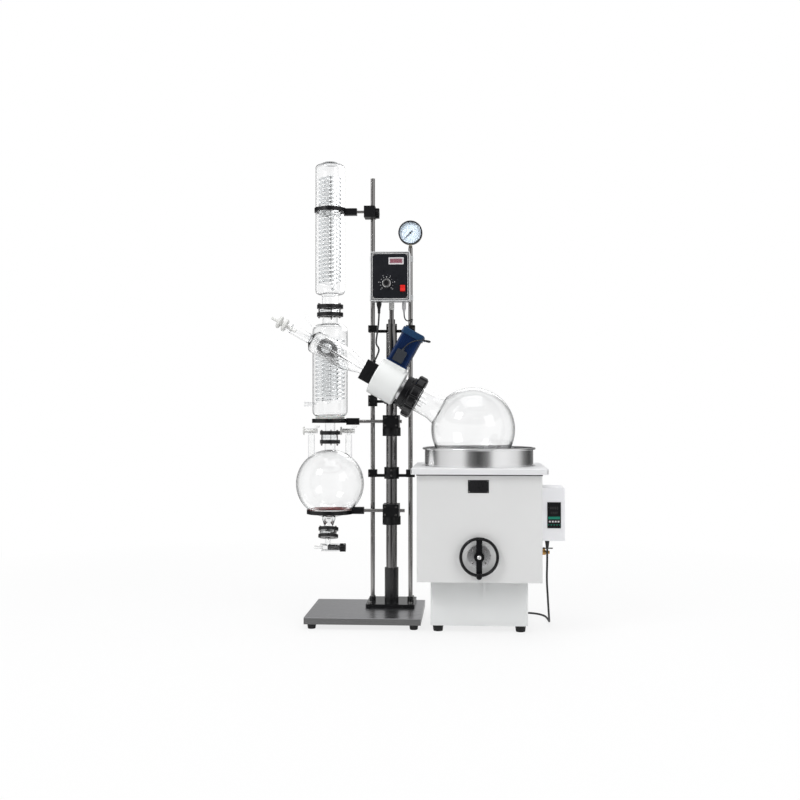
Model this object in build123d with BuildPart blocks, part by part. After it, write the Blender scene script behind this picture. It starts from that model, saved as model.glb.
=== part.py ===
from build123d import *
import os
from math import cos, pi, radians, sin, tan

# Rotary evaporator with a lifting water bath, in millimetres.
# The origin is on the floor under the main column, X runs to the bath and Y runs to the back.

# Stand
column_radius = 22.5
column_wall = 3
column_top = 1214
collar_radius = 14.5
collar_top = 1233
spindle_top_radius = 9
rod_radius = 9
rod_offset = 79
left_rod_top = 1824
right_rod_top = 1531
slide_gap = 0.1
tray_left = -320
tray_right = 136
tray_front = -334
tray_back = 102
tray_bottom = 20
tray_top = 46
tray_sheet = 2
foot_radius = 18
foot_tip_radius = 15
foot_inset = 28
plate_half_width = 100
plate_thickness = 14
plate_top = tray_top + plate_thickness
socket_radius = 29
socket_height = 138
rod_socket_radius = 13
rod_socket_height = 17
bolt_offset = 82

# Braces between the rods and the column
brace_bar = 12
brace_clamp_half = 18
top_brace_z = 1180
top_brace_clamp_height = 28
top_brace_back = 38
head_brace_z = 870
head_brace_height = 46
mid_brace_z = 568
mid_brace_height = 48
mid_brace_clamp_height = 31
mid_collar_radius = 31

# Arms that carry the glass
arm_y = -39
arm_radius = 7
upper_arm_radius = 5.75
glass_x = -254
lower_arm_z = 438
middle_arm_z = 807
upper_arm_z = 1678
block_half = 33
block_height = 52
lock_radius = 38
lock_height = 35
upper_ring_radius = 65.5
middle_ring_radius = 75
lower_ring_radius = 96.5
middle_ring_top = 818
lower_ring_top = 441
ring_height = 17

# Control box and gauge
box_half_width = 81.5
box_bottom = 1302.5
box_height = 202
box_front = -95
box_back = -11
sleeve_radius = 11
sleeve_length = 30
knob_x = -14
knob_z = 1374
knob_radius = 18.5
switch_x = 52
switch_z = 1353.5
display_x = 25
display_z = 1465.5
gauge_z = 1594
gauge_radius = 50
gauge_depth = 30
gauge_front = -22

# Drive head, on an axis that slopes down to the flask
head_y = -198
tilt = 29
flask_x = 339
flask_z = 777
flask_radius = 166.5
glass_wall = 4
neck_radius = 50
neck_end = 262
flask_flange_radius = 60
hub_start = 286
hub_end = 322
hub_radius = 66
ring_nut_radius = 89
ring_nut_start = 248
housing_radius = 75
housing_start = 335
housing_end = 448
housing_wall = 6
housing_end_wall = 20
spindle_radius = 34
spindle_bore = 27
bearing_radius = 46
bearing_width = 12
motor_s = 392
motor_seat = 79
motor_flange = 90
motor_flange_thickness = 8
motor_side = 84
motor_body_top = 203
motor_cap_side = 92
motor_top = 229
pinion_tip_radius = 12.7
seal_half = 43
seal_end = 499
duct_tube_radius = 25
duct_radius = 45
duct_tip_radius = 17
duct_tube_start = 226
duct_end = 840
branch_s = 678
joint_y = -132
port_radius = 25
port_flange_radius = 35
feed_tube_radius = 6
feed_tube_end = 925

# Condensers and receiver
upper_body_radius = 61
upper_top = 1879
upper_bottom = 1334
upper_neck_radius = 33
joint_top_z = 1267.5
flange_thickness = 8.5
lower_body_radius = 73
lower_top = 1211
lower_bottom = 826
lower_neck_radius = 31
drip_radius = 21
joint_low_z = 741
low_flange_thickness = 11
receiver_radius = 141
receiver_z = 549
receiver_neck_radius = 22
vent_offset = 78
vent_radius = 13.5
vent_top = 752
drain_tilt = 15
nozzle_radius = 8
nozzle_bore = 5

# Water bath
bath_x = 362
bath_y = head_y
bath_half = 236.5
bath_bottom = 203.6
bath_top = 611
sheet = 2
lid_half = 258.5
lid_height = 23
pot_radius = 215
pot_wall = 1.5
pot_bottom = 463
pot_top = 706
heater_height = 8
pot_rim_radius = 224
deck_z = 404
deck_thickness = 4
pedestal_half_width = 187
pedestal_half_depth = 150
pedestal_bottom = 25
pedestal_top = 240
bath_foot_radius = 21
guide_radius = 8
guide_x = 150
guide_y = 110
lift_travel = 150
wheel_z = 302
wheel_radius = 75
wheel_rim_radius = 6
wheel_y = -453
pinion_radius = 16
side_box_right = 692
side_box_front = -323
side_box_back = -143
side_box_bottom = 350
side_box_height = 204
controller_x = 650
controller_z = 449
cock_y = -250
cock_z = 297
wall_gap = 0.1

# Cable ends
gland_length = 8
gland_bottom = 1254
plug_bottom = 1260
lead_front = 48
lead_low = 147

os.makedirs("parts", exist_ok=True)


def finish(part, name):
    part.label = name
    export_step(part, f"parts/{name}.step")
    print(name, len(part.solids()), round(part.volume))


def post(x, y, bottom, top, radius, mode=Mode.ADD):
    with BuildSketch(Plane.XY.offset(bottom)) as outline:
        with Locations((x, y)):
            Circle(radius)
    extrude(outline.sketch, amount=top - bottom, mode=mode)


def bar_along_x(start, end, y, z, radius, mode=Mode.ADD):
    with BuildSketch(Plane.YZ.offset(start)) as outline:
        with Locations((y, z)):
            Circle(radius)
    extrude(outline.sketch, amount=end - start, mode=mode)


def bar_along_y(x, z, front, back, radius, mode=Mode.ADD):
    with BuildSketch(Plane(origin=(x, front, z), x_dir=(1, 0, 0), z_dir=(0, 1, 0))) as outline:
        Circle(radius)
    extrude(outline.sketch, amount=back - front, mode=mode)


def block(left, right, front, back, bottom, top, mode=Mode.ADD):
    with BuildSketch(Plane.XY.offset(bottom)) as outline:
        with Locations(((left + right) / 2, (front + back) / 2)):
            Rectangle(right - left, back - front)
    extrude(outline.sketch, amount=top - bottom, mode=mode)


def turned(centre, points, radii, mode=Mode.ADD):
    # A turned form about a vertical axis: points are radius and height.
    with BuildSketch(Plane(origin=(centre[0], centre[1], 0), x_dir=(1, 0, 0), z_dir=(0, -1, 0))) as outline:
        with BuildLine():
            FilletPolyline(points, radius=radii)
            Line(points[-1], points[0])
        make_face()
    revolve(outline.sketch, axis=Axis((centre[0], centre[1], 0), (0, 0, 1)), mode=mode)


# The head's own directions: along the axis up to the feed end, and square to it upwards.
tilt_cos = cos(radians(tilt))
tilt_sin = sin(radians(tilt))
flask_centre = Vector(flask_x, head_y, flask_z)
axis_up = Vector(-tilt_cos, 0, tilt_sin)
square_up = Vector(tilt_sin, 0, tilt_cos)
to_front = Vector(0, -1, 0)
head_axis = Axis(flask_centre, axis_up)


def head_point(along, up=0, front=0):
    return flask_centre + axis_up * along + square_up * up + to_front * front


def head_plane(along):
    return Plane(origin=head_point(along), x_dir=to_front, z_dir=axis_up)


def motor_plane(up):
    return Plane(origin=head_point(motor_s, up), x_dir=to_front, z_dir=square_up)


def head_turned(points, radii, mode=Mode.ADD):
    # A turned form about the head's axis: points are radius and distance from the flask's centre.
    with BuildSketch(Plane(origin=flask_centre, x_dir=to_front, z_dir=-square_up)) as outline:
        with BuildLine():
            FilletPolyline(points, radius=radii)
            Line(points[-1], points[0])
        make_face()
    revolve(outline.sketch, axis=head_axis, mode=mode)


def head_disc(start, end, radius, mode=Mode.ADD):
    with BuildSketch(head_plane(start)) as outline:
        Circle(radius)
    extrude(outline.sketch, amount=end - start, mode=mode)


# Base tray: folded sheet with open corners
with BuildPart() as base_tray:
    block(tray_left, tray_right, tray_front, tray_back, tray_bottom, tray_top)
    block(
        tray_left + tray_sheet,
        tray_right - tray_sheet,
        tray_front + tray_sheet,
        tray_back - tray_sheet,
        tray_bottom,
        tray_top - tray_sheet,
        Mode.SUBTRACT,
    )
    for side_x in (-bolt_offset, bolt_offset):
        for side_y in (-bolt_offset, bolt_offset):
            post(side_x, side_y, tray_top - tray_sheet, tray_top, 4.5, Mode.SUBTRACT)
finish(base_tray.part, "base_tray")

# Rubber feet: four under the tray and four under the bath
with BuildPart() as rubber_feet:
    for foot_x in (tray_left + foot_inset, tray_right - foot_inset):
        for foot_y in (tray_front + foot_inset, tray_back - foot_inset):
            turned(
                (foot_x, foot_y),
                [(0, 0), (foot_tip_radius, 0), (foot_radius, tray_bottom),
                 (10, tray_bottom), (10, tray_top - tray_sheet), (0, tray_top - tray_sheet)],
                [2, 0, 0, 0],
            )
    for foot_x in (bath_x - pedestal_half_width + foot_inset, bath_x + pedestal_half_width - foot_inset):
        for foot_y in (bath_y - pedestal_half_depth + foot_inset, bath_y + pedestal_half_depth - foot_inset):
            turned(
                (foot_x, foot_y),
                [(0, 0), (bath_foot_radius - 3, 0), (bath_foot_radius, pedestal_bottom), (0, pedestal_bottom)],
                [2, 0],
            )
finish(rubber_feet.part, "rubber_feet")

# Foot plate with the column socket and the rod sockets
with BuildPart() as foot_plate:
    with BuildSketch(Plane.XY.offset(tray_top)):
        RectangleRounded(2 * plate_half_width, 2 * plate_half_width, 6)
    extrude(amount=plate_thickness)
    post(0, 0, plate_top, plate_top + socket_height, socket_radius)
    for side_x in (-rod_offset, rod_offset):
        post(side_x, 0, plate_top, plate_top + rod_socket_height, rod_socket_radius)
        post(side_x, 0, plate_top, plate_top + rod_socket_height, rod_radius + slide_gap, Mode.SUBTRACT)
    post(0, 0, plate_top, plate_top + socket_height, column_radius + slide_gap, Mode.SUBTRACT)
    for side_x in (-bolt_offset, bolt_offset):
        for side_y in (-bolt_offset, bolt_offset):
            post(side_x, side_y, tray_top, plate_top, 4.5, Mode.SUBTRACT)
finish(foot_plate.part, "foot_plate")

# Main column with its end cap, collar and top spindle
spindle_end = box_bottom - sleeve_length
with BuildPart() as main_column:
    post(0, 0, plate_top, column_top, column_radius)
    post(0, 0, plate_top, column_top - 8, column_radius - column_wall, Mode.SUBTRACT)
    post(0, 0, column_top, collar_top, collar_radius)
    post(0, 0, collar_top, box_bottom, spindle_top_radius)
finish(main_column.part, "main_column")

# Support rods and the three arm rods
lower_arm_left = -140
lower_arm_right = 57
middle_arm_left = -160
middle_arm_right = 45
upper_arm_left = -170
upper_arm_right = -76
with BuildPart() as steel_rods:
    post(-rod_offset, 0, plate_top, left_rod_top, rod_radius)
    post(rod_offset, 0, plate_top, right_rod_top, rod_radius)
    bar_along_x(lower_arm_left, lower_arm_right, arm_y, lower_arm_z, arm_radius)
    bar_along_x(middle_arm_left, middle_arm_right, arm_y, middle_arm_z, arm_radius)
    bar_along_x(upper_arm_left, upper_arm_right, arm_y, upper_arm_z, upper_arm_radius)
finish(steel_rods.part, "steel_rods")

block_front = arm_y - arm_radius - 12
block_back = column_radius + 9
screw_radius = 2.4
screw_length = 6

# Screws on the front of the braces and arm blocks: x, the face's y, and z
screw_places = (
    [(-92, -brace_clamp_half, head_brace_z + 12), (-92, -brace_clamp_half, head_brace_z + 34)]
    + [(side * 92, -brace_clamp_half, top_brace_z + 14) for side in (-1, 1)]
    + [(side * 92, -brace_clamp_half, mid_brace_z + 22) for side in (-1, 1)]
    + [(0, -mid_collar_radius - 0.05, mid_brace_z + 36), (0, -mid_collar_radius - 0.05, mid_brace_z + 14)]
    + [(side * 23, block_front, arm_z + up * 16)
       for arm_z in (lower_arm_z, middle_arm_z) for side in (-1, 1) for up in (-1, 1)]
)


def screw_holes():
    for x, front, z in screw_places:
        bar_along_y(x, z, front - 1, front + screw_length + 0.5, screw_radius + wall_gap, Mode.SUBTRACT)


# Braces: top and middle ones tie both rods, the head one ties the left rod
rod_bore = rod_radius + slide_gap
column_bore = column_radius + slide_gap
with BuildPart() as rod_braces:
    for side_x in (-rod_offset, rod_offset):
        block(side_x - brace_clamp_half, side_x + brace_clamp_half, -brace_clamp_half, top_brace_back,
              top_brace_z, top_brace_z + top_brace_clamp_height)
    block(-rod_offset, rod_offset, top_brace_back - brace_bar, top_brace_back,
          top_brace_z, top_brace_z + brace_bar)
    for side_x in (-rod_offset, rod_offset):
        post(side_x, 0, top_brace_z, top_brace_z + top_brace_clamp_height, rod_bore, Mode.SUBTRACT)

    block(-rod_offset - brace_clamp_half, -rod_offset + brace_clamp_half, -brace_clamp_half,
          brace_clamp_half, head_brace_z, head_brace_z + head_brace_height)
    block(-rod_offset, 0, -8, 8, head_brace_z + 14, head_brace_z + 14 + brace_bar)
    post(0, 0, head_brace_z + 10, head_brace_z + 40, mid_collar_radius)
    post(-rod_offset, 0, head_brace_z, head_brace_z + head_brace_height, rod_bore, Mode.SUBTRACT)
    post(0, 0, head_brace_z, head_brace_z + head_brace_height, column_bore, Mode.SUBTRACT)

    for side_x in (-rod_offset, rod_offset):
        block(side_x - brace_clamp_half, side_x + brace_clamp_half, -brace_clamp_half, brace_clamp_half,
              mid_brace_z + 7, mid_brace_z + 7 + mid_brace_clamp_height)
    block(-rod_offset, rod_offset, -8, 8, mid_brace_z + 7, mid_brace_z + 7 + brace_bar)
    post(0, 0, mid_brace_z, mid_brace_z + mid_brace_height, mid_collar_radius)
    for side_x in (-rod_offset, rod_offset):
        post(side_x, 0, mid_brace_z, mid_brace_z + mid_brace_height, rod_bore, Mode.SUBTRACT)
    post(0, 0, mid_brace_z, mid_brace_z + mid_brace_height, column_bore, Mode.SUBTRACT)
    screw_holes()
finish(rod_braces.part, "rod_braces")

# Clamps: two arm blocks with their lock collars, and the bosshead on the left rod
bosshead_left = -112
bosshead_right = -66
with BuildPart() as stand_clamps:
    for arm_z in (lower_arm_z, middle_arm_z):
        bottom = arm_z - block_height / 2
        block(-block_half, block_half, block_front, block_back, bottom, bottom + block_height)
        post(0, 0, bottom, bottom + block_height, column_bore, Mode.SUBTRACT)
        bar_along_x(-block_half, block_half, arm_y, arm_z, arm_radius + slide_gap, Mode.SUBTRACT)
        post(0, 0, bottom - lock_height, bottom, lock_radius)
        post(0, 0, bottom - lock_height, bottom, column_bore, Mode.SUBTRACT)
    block(bosshead_left, bosshead_right, arm_y - 14, 15, upper_arm_z - 23, upper_arm_z + 24)
    post(-rod_offset, 0, upper_arm_z - 23, upper_arm_z + 24, rod_bore, Mode.SUBTRACT)
    bar_along_x(bosshead_left, upper_arm_right + 1, arm_y, upper_arm_z,
                upper_arm_radius + slide_gap, Mode.SUBTRACT)
    bar_along_x(-rod_offset, bosshead_right, 0, upper_arm_z, 4.2, Mode.SUBTRACT)
    screw_holes()
finish(stand_clamps.part, "stand_clamps")

# Star knob that locks the bosshead
knob_lobes = 6
with BuildPart() as bosshead_knob:
    bar_along_x(-rod_offset + rod_radius + 0.3, bosshead_right + 2, 0, upper_arm_z, 4.1)
    bar_along_x(bosshead_right + 1, bosshead_right + 14, 0, upper_arm_z, 19)
    with BuildSketch(Plane.YZ.offset(bosshead_right + 1)):
        with Locations((0, upper_arm_z)):
            with PolarLocations(18, knob_lobes):
                Circle(5)
    extrude(amount=13)
finish(bosshead_knob.part, "bosshead_knob")

# Ring clamps that hold the glass
with BuildPart() as ring_clamps:
    ring_sizes = (
        (upper_ring_radius, upper_body_radius + 0.5, upper_arm_z + 16, upper_arm_z, upper_arm_radius,
         upper_arm_left),
        (middle_ring_radius, 36, middle_ring_top, middle_arm_z, arm_radius, middle_arm_left),
        (lower_ring_radius, 92, lower_ring_top, lower_arm_z, arm_radius, lower_arm_left),
    )
    for outer, inner, top, arm_z, arm_r, arm_end in ring_sizes:
        post(glass_x, arm_y, top - ring_height, top, outer)
        block(glass_x + outer - 6, arm_end + 28, arm_y - 13, arm_y + 13, arm_z - 14, arm_z + 14)
        post(glass_x, arm_y, arm_z - 30, arm_z + 30, inner, Mode.SUBTRACT)
        bar_along_x(arm_end, arm_end + 28, arm_y, arm_z, arm_r + slide_gap, Mode.SUBTRACT)
    with Locations((glass_x, arm_y, receiver_z)):
        Sphere(receiver_radius + 0.3, mode=Mode.SUBTRACT)
finish(ring_clamps.part, "ring_clamps")

# Cushions: a silicone pad under the lower condenser and a ring under the receiver
cushion_height = 13
with BuildPart() as ring_cushions:
    post(glass_x, arm_y, middle_ring_top, lower_bottom, 60)
    post(glass_x, arm_y, middle_ring_top, lower_bottom, 40, Mode.SUBTRACT)
    seat_outer = 91.7
    seat_bottom = lower_ring_top - cushion_height
    post(glass_x, arm_y, seat_bottom, lower_ring_top, seat_outer)
    with Locations((glass_x, arm_y, receiver_z)):
        Sphere(receiver_radius + 0.3, mode=Mode.SUBTRACT)
    post(glass_x, arm_y, seat_bottom, lower_ring_top, 80, Mode.SUBTRACT)
finish(ring_cushions.part, "ring_cushions")

# Control box: a steel shell with a black panel set into its front
box_wall = 4
box_top = box_bottom + box_height
box_mid_z = (box_bottom + box_top) / 2
panel_front = box_front + 1
panel_thickness = 3
cable_x = -48.5
connector_x = 55
saddle_half = 90
saddle_height = 24
with BuildPart() as control_box_shell:
    block(-box_half_width, box_half_width, box_front, box_back, box_bottom, box_top)
    fillet(control_box_shell.edges().filter_by(Axis.Y), 4)
    block(-box_half_width + box_wall, box_half_width - box_wall, box_front, panel_front + panel_thickness,
          box_bottom + box_wall, box_top - box_wall, Mode.SUBTRACT)
    block(-box_half_width + 2 * box_wall, box_half_width - 2 * box_wall, box_front, box_back - 3,
          box_bottom + 2 * box_wall, box_top - 2 * box_wall, Mode.SUBTRACT)
    block(-box_half_width + 3, box_half_width - 3, panel_front + panel_thickness + 4, box_back - 3,
          box_bottom + 3, box_top - 3, Mode.SUBTRACT)
    for bottom in (box_bottom + 8, box_top - 8 - saddle_height):
        block(-saddle_half, saddle_half, box_back, 0, bottom, bottom + saddle_height)
    for side_x in (-rod_offset, rod_offset):
        post(side_x, 0, box_bottom, box_top, rod_bore, Mode.SUBTRACT)
    post(0, 0, box_bottom, box_top, spindle_top_radius + slide_gap, Mode.SUBTRACT)
    # Plug of the motor cable
    turned((connector_x, (box_front + box_back) / 2),
           [(0, plug_bottom), (4, plug_bottom), (5.5, plug_bottom + 8), (8, plug_bottom + 14), (8, box_bottom + 1),
            (0, box_bottom + 1)], [0, 0, 0, 0])
    # Gland of the seal cable
    turned((cable_x, (box_front + box_back) / 2),
           [(0, gland_bottom), (5.5, gland_bottom), (6, gland_bottom + 18), (10.5, gland_bottom + 36),
            (10.5, box_bottom + 1), (0, box_bottom + 1)], [0, 6, 0, 0])
finish(control_box_shell.part, "control_box_shell")

# Sleeve on the spindle under the box
with BuildPart() as spindle_sleeve:
    post(0, 0, spindle_end, box_bottom, sleeve_radius)
    post(0, 0, spindle_end, box_bottom, spindle_top_radius + slide_gap, Mode.SUBTRACT)
finish(spindle_sleeve.part, "spindle_sleeve")

display_width = 56
display_height = 24
switch_half_width = 10
rocker_radius = 14
rocker_y = panel_front + 4
with BuildPart() as control_panel:
    block(-box_half_width + box_wall + wall_gap, box_half_width - box_wall - wall_gap, panel_front,
          panel_front + panel_thickness, box_bottom + box_wall + wall_gap, box_top - box_wall - wall_gap)
    # Frame round the switch
    block(switch_x - 14, switch_x + 14, panel_front - 2, panel_front, switch_z - 18, switch_z + 18)
    block(switch_x - switch_half_width - 0.4, switch_x + switch_half_width + 0.4, panel_front - 2,
          panel_front + panel_thickness, switch_z - rocker_radius - 0.4, switch_z + rocker_radius + 0.4,
          Mode.SUBTRACT)
    block(display_x - display_width / 2 - wall_gap, display_x + display_width / 2 + wall_gap, panel_front,
          panel_front + 1.6, display_z - display_height / 2 - wall_gap,
          display_z + display_height / 2 + wall_gap, Mode.SUBTRACT)
    bar_along_y(knob_x, knob_z, panel_front, panel_front + panel_thickness, 3.3, Mode.SUBTRACT)
finish(control_panel.part, "control_panel")

with BuildPart() as speed_display:
    block(display_x - display_width / 2, display_x + display_width / 2, panel_front - 0.6, panel_front + 1.6,
          display_z - display_height / 2, display_z + display_height / 2)
finish(speed_display.part, "speed_display")

knob_front = panel_front - 17
with BuildPart() as speed_knob:
    bar_along_y(knob_x, knob_z, knob_front, panel_front - 0.4, knob_radius - 1.5)
    bar_along_y(knob_x, knob_z, panel_front - 4, panel_front - 0.4, knob_radius)
    bar_along_y(knob_x, knob_z, panel_front - 0.4, panel_front + 12, 3)
    chamfer(speed_knob.faces().sort_by(Axis.Y)[0].edges(), 1.5)
    block(knob_x - 1, knob_x + 1, knob_front, knob_front + 1.2, knob_z, knob_z + knob_radius, Mode.SUBTRACT)
finish(speed_knob.part, "speed_knob")

with BuildPart() as power_rocker:
    bar_along_x(switch_x - switch_half_width, switch_x + switch_half_width, rocker_y, switch_z, rocker_radius)
    # Two facets that meet in a shallow valley
    with BuildSketch(Plane.YZ.offset(switch_x - switch_half_width)) as cut_shape:
        with BuildLine():
            Polyline(
                (rocker_y - 8, switch_z),
                (rocker_y - 11, switch_z + rocker_radius + 1),
                (rocker_y - 20, switch_z + rocker_radius + 1),
                (rocker_y - 20, switch_z - rocker_radius - 1),
                (rocker_y - 11, switch_z - rocker_radius - 1),
                close=True,
            )
        make_face()
    extrude(cut_shape.sketch, amount=2 * switch_half_width, mode=Mode.SUBTRACT)
    block(switch_x - 20, switch_x + 20, rocker_y + 4, rocker_y + 20, switch_z - 20, switch_z + 20, Mode.SUBTRACT)
finish(power_rocker.part, "power_rocker")

box_mid_y = (box_front + box_back) / 2

# Vacuum gauge on the right rod
def gauge_disc(front, back, radius, mode=Mode.ADD):
    bar_along_y(rod_offset, gauge_z, front, back, radius, mode)


gauge_back = gauge_front + gauge_depth
with BuildPart() as gauge_case:
    # Cup with its dial and the needle's arbor, turned about the Y axis
    with BuildSketch(Plane(origin=(rod_offset, 0, gauge_z), x_dir=(1, 0, 0), z_dir=(0, 0, 1))):
        with BuildLine():
            FilletPolyline(
                [(0, gauge_back), (gauge_radius, gauge_back), (gauge_radius, gauge_front),
                 (gauge_radius - 5, gauge_front), (gauge_radius - 5, gauge_front + 4),
                 (gauge_radius - 4, gauge_front + 4), (gauge_radius - 4, gauge_front + 14), (1.4, gauge_front + 14),
                 (1.4, gauge_front + 8), (0, gauge_front + 8)],
                radius=[3, 3, 0, 0, 0, 0, 0, 0],
            )
            Line((0, gauge_front + 8), (0, gauge_back))
        make_face()
    revolve(axis=Axis((rod_offset, 0, gauge_z), (0, 1, 0)))
    # Stem on the rod
    post(rod_offset, 0, right_rod_top, gauge_z - gauge_radius + 3, 6)
    with BuildSketch(Plane.XY.offset(right_rod_top)) as hexagon:
        with Locations((rod_offset, 0)):
            RegularPolygon(8, 6)
    extrude(hexagon.sketch, amount=9)
finish(gauge_case.part, "gauge_case")
with BuildPart() as gauge_glass:
    gauge_disc(gauge_front + 4, gauge_front + 6, gauge_radius - 4 - wall_gap)
finish(gauge_glass.part, "gauge_glass")
with BuildPart() as gauge_needle:
    gauge_disc(gauge_front + 10, gauge_front + 12.5, 4)
    # The needle points down and left, to zero at rest.
    with BuildSketch(Plane(origin=(rod_offset, gauge_front + 10.5, gauge_z), x_dir=(-1, 0, -1),
                           z_dir=(0, 1, 0))) as needle_shape:
        with BuildLine():
            Polyline((-12, -2), (37, -0.6), (37, 0.6), (-12, 2), close=True)
        make_face()
    extrude(needle_shape.sketch, amount=1.5)
    gauge_disc(gauge_front + 8, gauge_front + 14, 1.6, Mode.SUBTRACT)
finish(gauge_needle.part, "gauge_needle")
# Head bracket: a split clamp on the column that reaches forward to the gear housing
bracket_bottom = 932
bracket_top = 1000
with BuildPart() as head_bracket:
    post(0, 0, bracket_bottom, bracket_top, 36)
    block(-8, 8, 0, 48, bracket_bottom, bracket_top)
    bar_along_y(-3, 966, head_y, 0, 26)
    post(0, 0, bracket_bottom - 40, bracket_top + 40, column_bore, Mode.SUBTRACT)
    block(-1.5, 1.5, 0, 60, bracket_bottom - 1, bracket_top + 1, Mode.SUBTRACT)
    head_disc(housing_start - 60, housing_end + 60, housing_radius + wall_gap, Mode.SUBTRACT)
finish(head_bracket.part, "head_bracket")

# Gear housing with two bearing seats and a saddle for the motor
bearing_low = housing_start + 8
bearing_high = housing_end - 8 - bearing_width
pinion_bore = 24
with BuildPart() as gear_housing:
    head_disc(housing_start, housing_end, housing_radius)
    fillet(gear_housing.edges().filter_by(GeomType.CIRCLE), 5)
    with BuildSketch(motor_plane(50)) as saddle:
        RectangleRounded(motor_flange, motor_flange, 4)
    extrude(saddle.sketch, amount=motor_seat - 50)
    head_disc(housing_start + housing_end_wall + 2, housing_end - housing_end_wall - 2,
              housing_radius - housing_wall, Mode.SUBTRACT)
    head_disc(bearing_low, housing_start + housing_end_wall + 2, bearing_radius, Mode.SUBTRACT)
    head_disc(housing_end - housing_end_wall - 2, bearing_high + bearing_width, bearing_radius, Mode.SUBTRACT)
    head_disc(housing_start, housing_end, spindle_radius + 3, Mode.SUBTRACT)
    with BuildSketch(motor_plane(0)) as shaft_hole:
        Circle(pinion_bore)
    extrude(shaft_hole.sketch, amount=motor_seat, mode=Mode.SUBTRACT)
finish(gear_housing.part, "gear_housing")

with BuildPart() as spindle_bearings:
    for start in (bearing_low, bearing_high):
        head_disc(start, start + bearing_width, bearing_radius - wall_gap)
        head_disc(start, start + bearing_width, spindle_radius + wall_gap, Mode.SUBTRACT)
finish(spindle_bearings.part, "spindle_bearings")

# Hollow spindle and the ring gear on it
spindle_start = 300
gear_ratio = 3
gear_play = 0.3
ring_gear_inner = 44
ring_gear_outer = 62
ring_gear_back = motor_s + 31


def pitch_cone(radius):
    return motor_s + radius / gear_ratio + gear_play


with BuildPart() as hollow_spindle:
    head_disc(spindle_start, housing_end - 1, spindle_radius)
    head_turned(
        [(spindle_radius - 2, motor_s + 13), (ring_gear_inner, motor_s + 13),
         (ring_gear_inner, pitch_cone(ring_gear_inner)), (ring_gear_outer, pitch_cone(ring_gear_outer)),
         (ring_gear_outer, ring_gear_back), (spindle_radius - 2, ring_gear_back)],
        [0, 0, 0, 0],
    )
    head_disc(spindle_start, housing_end - 1, spindle_bore, Mode.SUBTRACT)
finish(hollow_spindle.part, "hollow_spindle")

# Bevel pinion on the motor shaft
pinion_low = 46
pinion_high = 64
shaft_end = 112
with BuildPart() as drive_pinion:
    with BuildSketch(Plane(origin=head_point(motor_s), x_dir=to_front, z_dir=axis_up)) as cone:
        with BuildLine():
            Polyline((0, pinion_low), (pinion_low / gear_ratio, pinion_low), (pinion_high / gear_ratio, pinion_high),
                     (pinion_high / gear_ratio - 4, pinion_high + 6), (7, pinion_high + 6), (7, shaft_end),
                     (0, shaft_end), close=True)
        make_face()
    revolve(cone.sketch, axis=Axis(head_point(motor_s), square_up))
finish(drive_pinion.part, "drive_pinion")

# Motor: flange, finned body, cap and terminal box
with BuildPart() as motor_flange_plate:
    with BuildSketch(motor_plane(motor_seat)) as flange_shape:
        RectangleRounded(motor_flange, motor_flange, 4)
        Circle(7.3, mode=Mode.SUBTRACT)
        with GridLocations(74, 74, 2, 2):
            Circle(3.2, mode=Mode.SUBTRACT)
    extrude(flange_shape.sketch, amount=motor_flange_thickness)
finish(motor_flange_plate.part, "motor_flange")
motor_low = motor_seat + motor_flange_thickness
with BuildPart() as drive_motor:
    with BuildSketch(motor_plane(motor_low)) as body_shape:
        RectangleRounded(motor_side, motor_side, 9)
        for edge in (-1, 1):
            for step in range(-3, 4):
                with Locations((edge * motor_side / 2, step * 8), (step * 8, edge * motor_side / 2)):
                    Rectangle(3, 3, mode=Mode.SUBTRACT)
    extrude(body_shape.sketch, amount=motor_body_top - motor_low)
    with BuildSketch(motor_plane(motor_low)) as bore_shape:
        Circle(7.3)
    extrude(bore_shape.sketch, amount=shaft_end - motor_low + 1, mode=Mode.SUBTRACT)
finish(drive_motor.part, "drive_motor")
with BuildPart() as motor_cap:
    with BuildSketch(motor_plane(motor_body_top)) as cap_shape:
        RectangleRounded(motor_cap_side, motor_cap_side, 9)
    extrude(cap_shape.sketch, amount=motor_top - motor_body_top)
    chamfer(motor_cap.faces().sort_by(Axis(flask_centre, square_up))[-1].edges(), 3)
    with BuildSketch(Plane(origin=head_point(motor_s + 34, motor_top - 1), x_dir=to_front, z_dir=square_up)) as top_gland:
        Circle(5)
    extrude(top_gland.sketch, amount=gland_length + 1)
    with BuildSketch(Plane(origin=head_point(motor_s - motor_cap_side / 2 + 1, 216, -14), x_dir=to_front,
                           z_dir=-axis_up)) as side_gland:
        Circle(5)
    extrude(side_gland.sketch, amount=gland_length + 1)
finish(motor_cap.part, "motor_cap")
with BuildPart() as terminal_box:
    with BuildSketch(Plane(origin=head_point(394, 114, motor_side / 2), x_dir=axis_up, z_dir=to_front)) as box_shape:
        RectangleRounded(42, 50, 4)
    extrude(box_shape.sketch, amount=12)
    chamfer(terminal_box.faces().sort_by(Axis(flask_centre, to_front))[-1].edges(), 2)
    with BuildSketch(Plane(origin=head_point(394, 138, lead_front), x_dir=to_front, z_dir=square_up)) as lead_gland:
        Circle(5)
    extrude(lead_gland.sketch, amount=lead_low - 138)
finish(terminal_box.part, "terminal_box")

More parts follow.
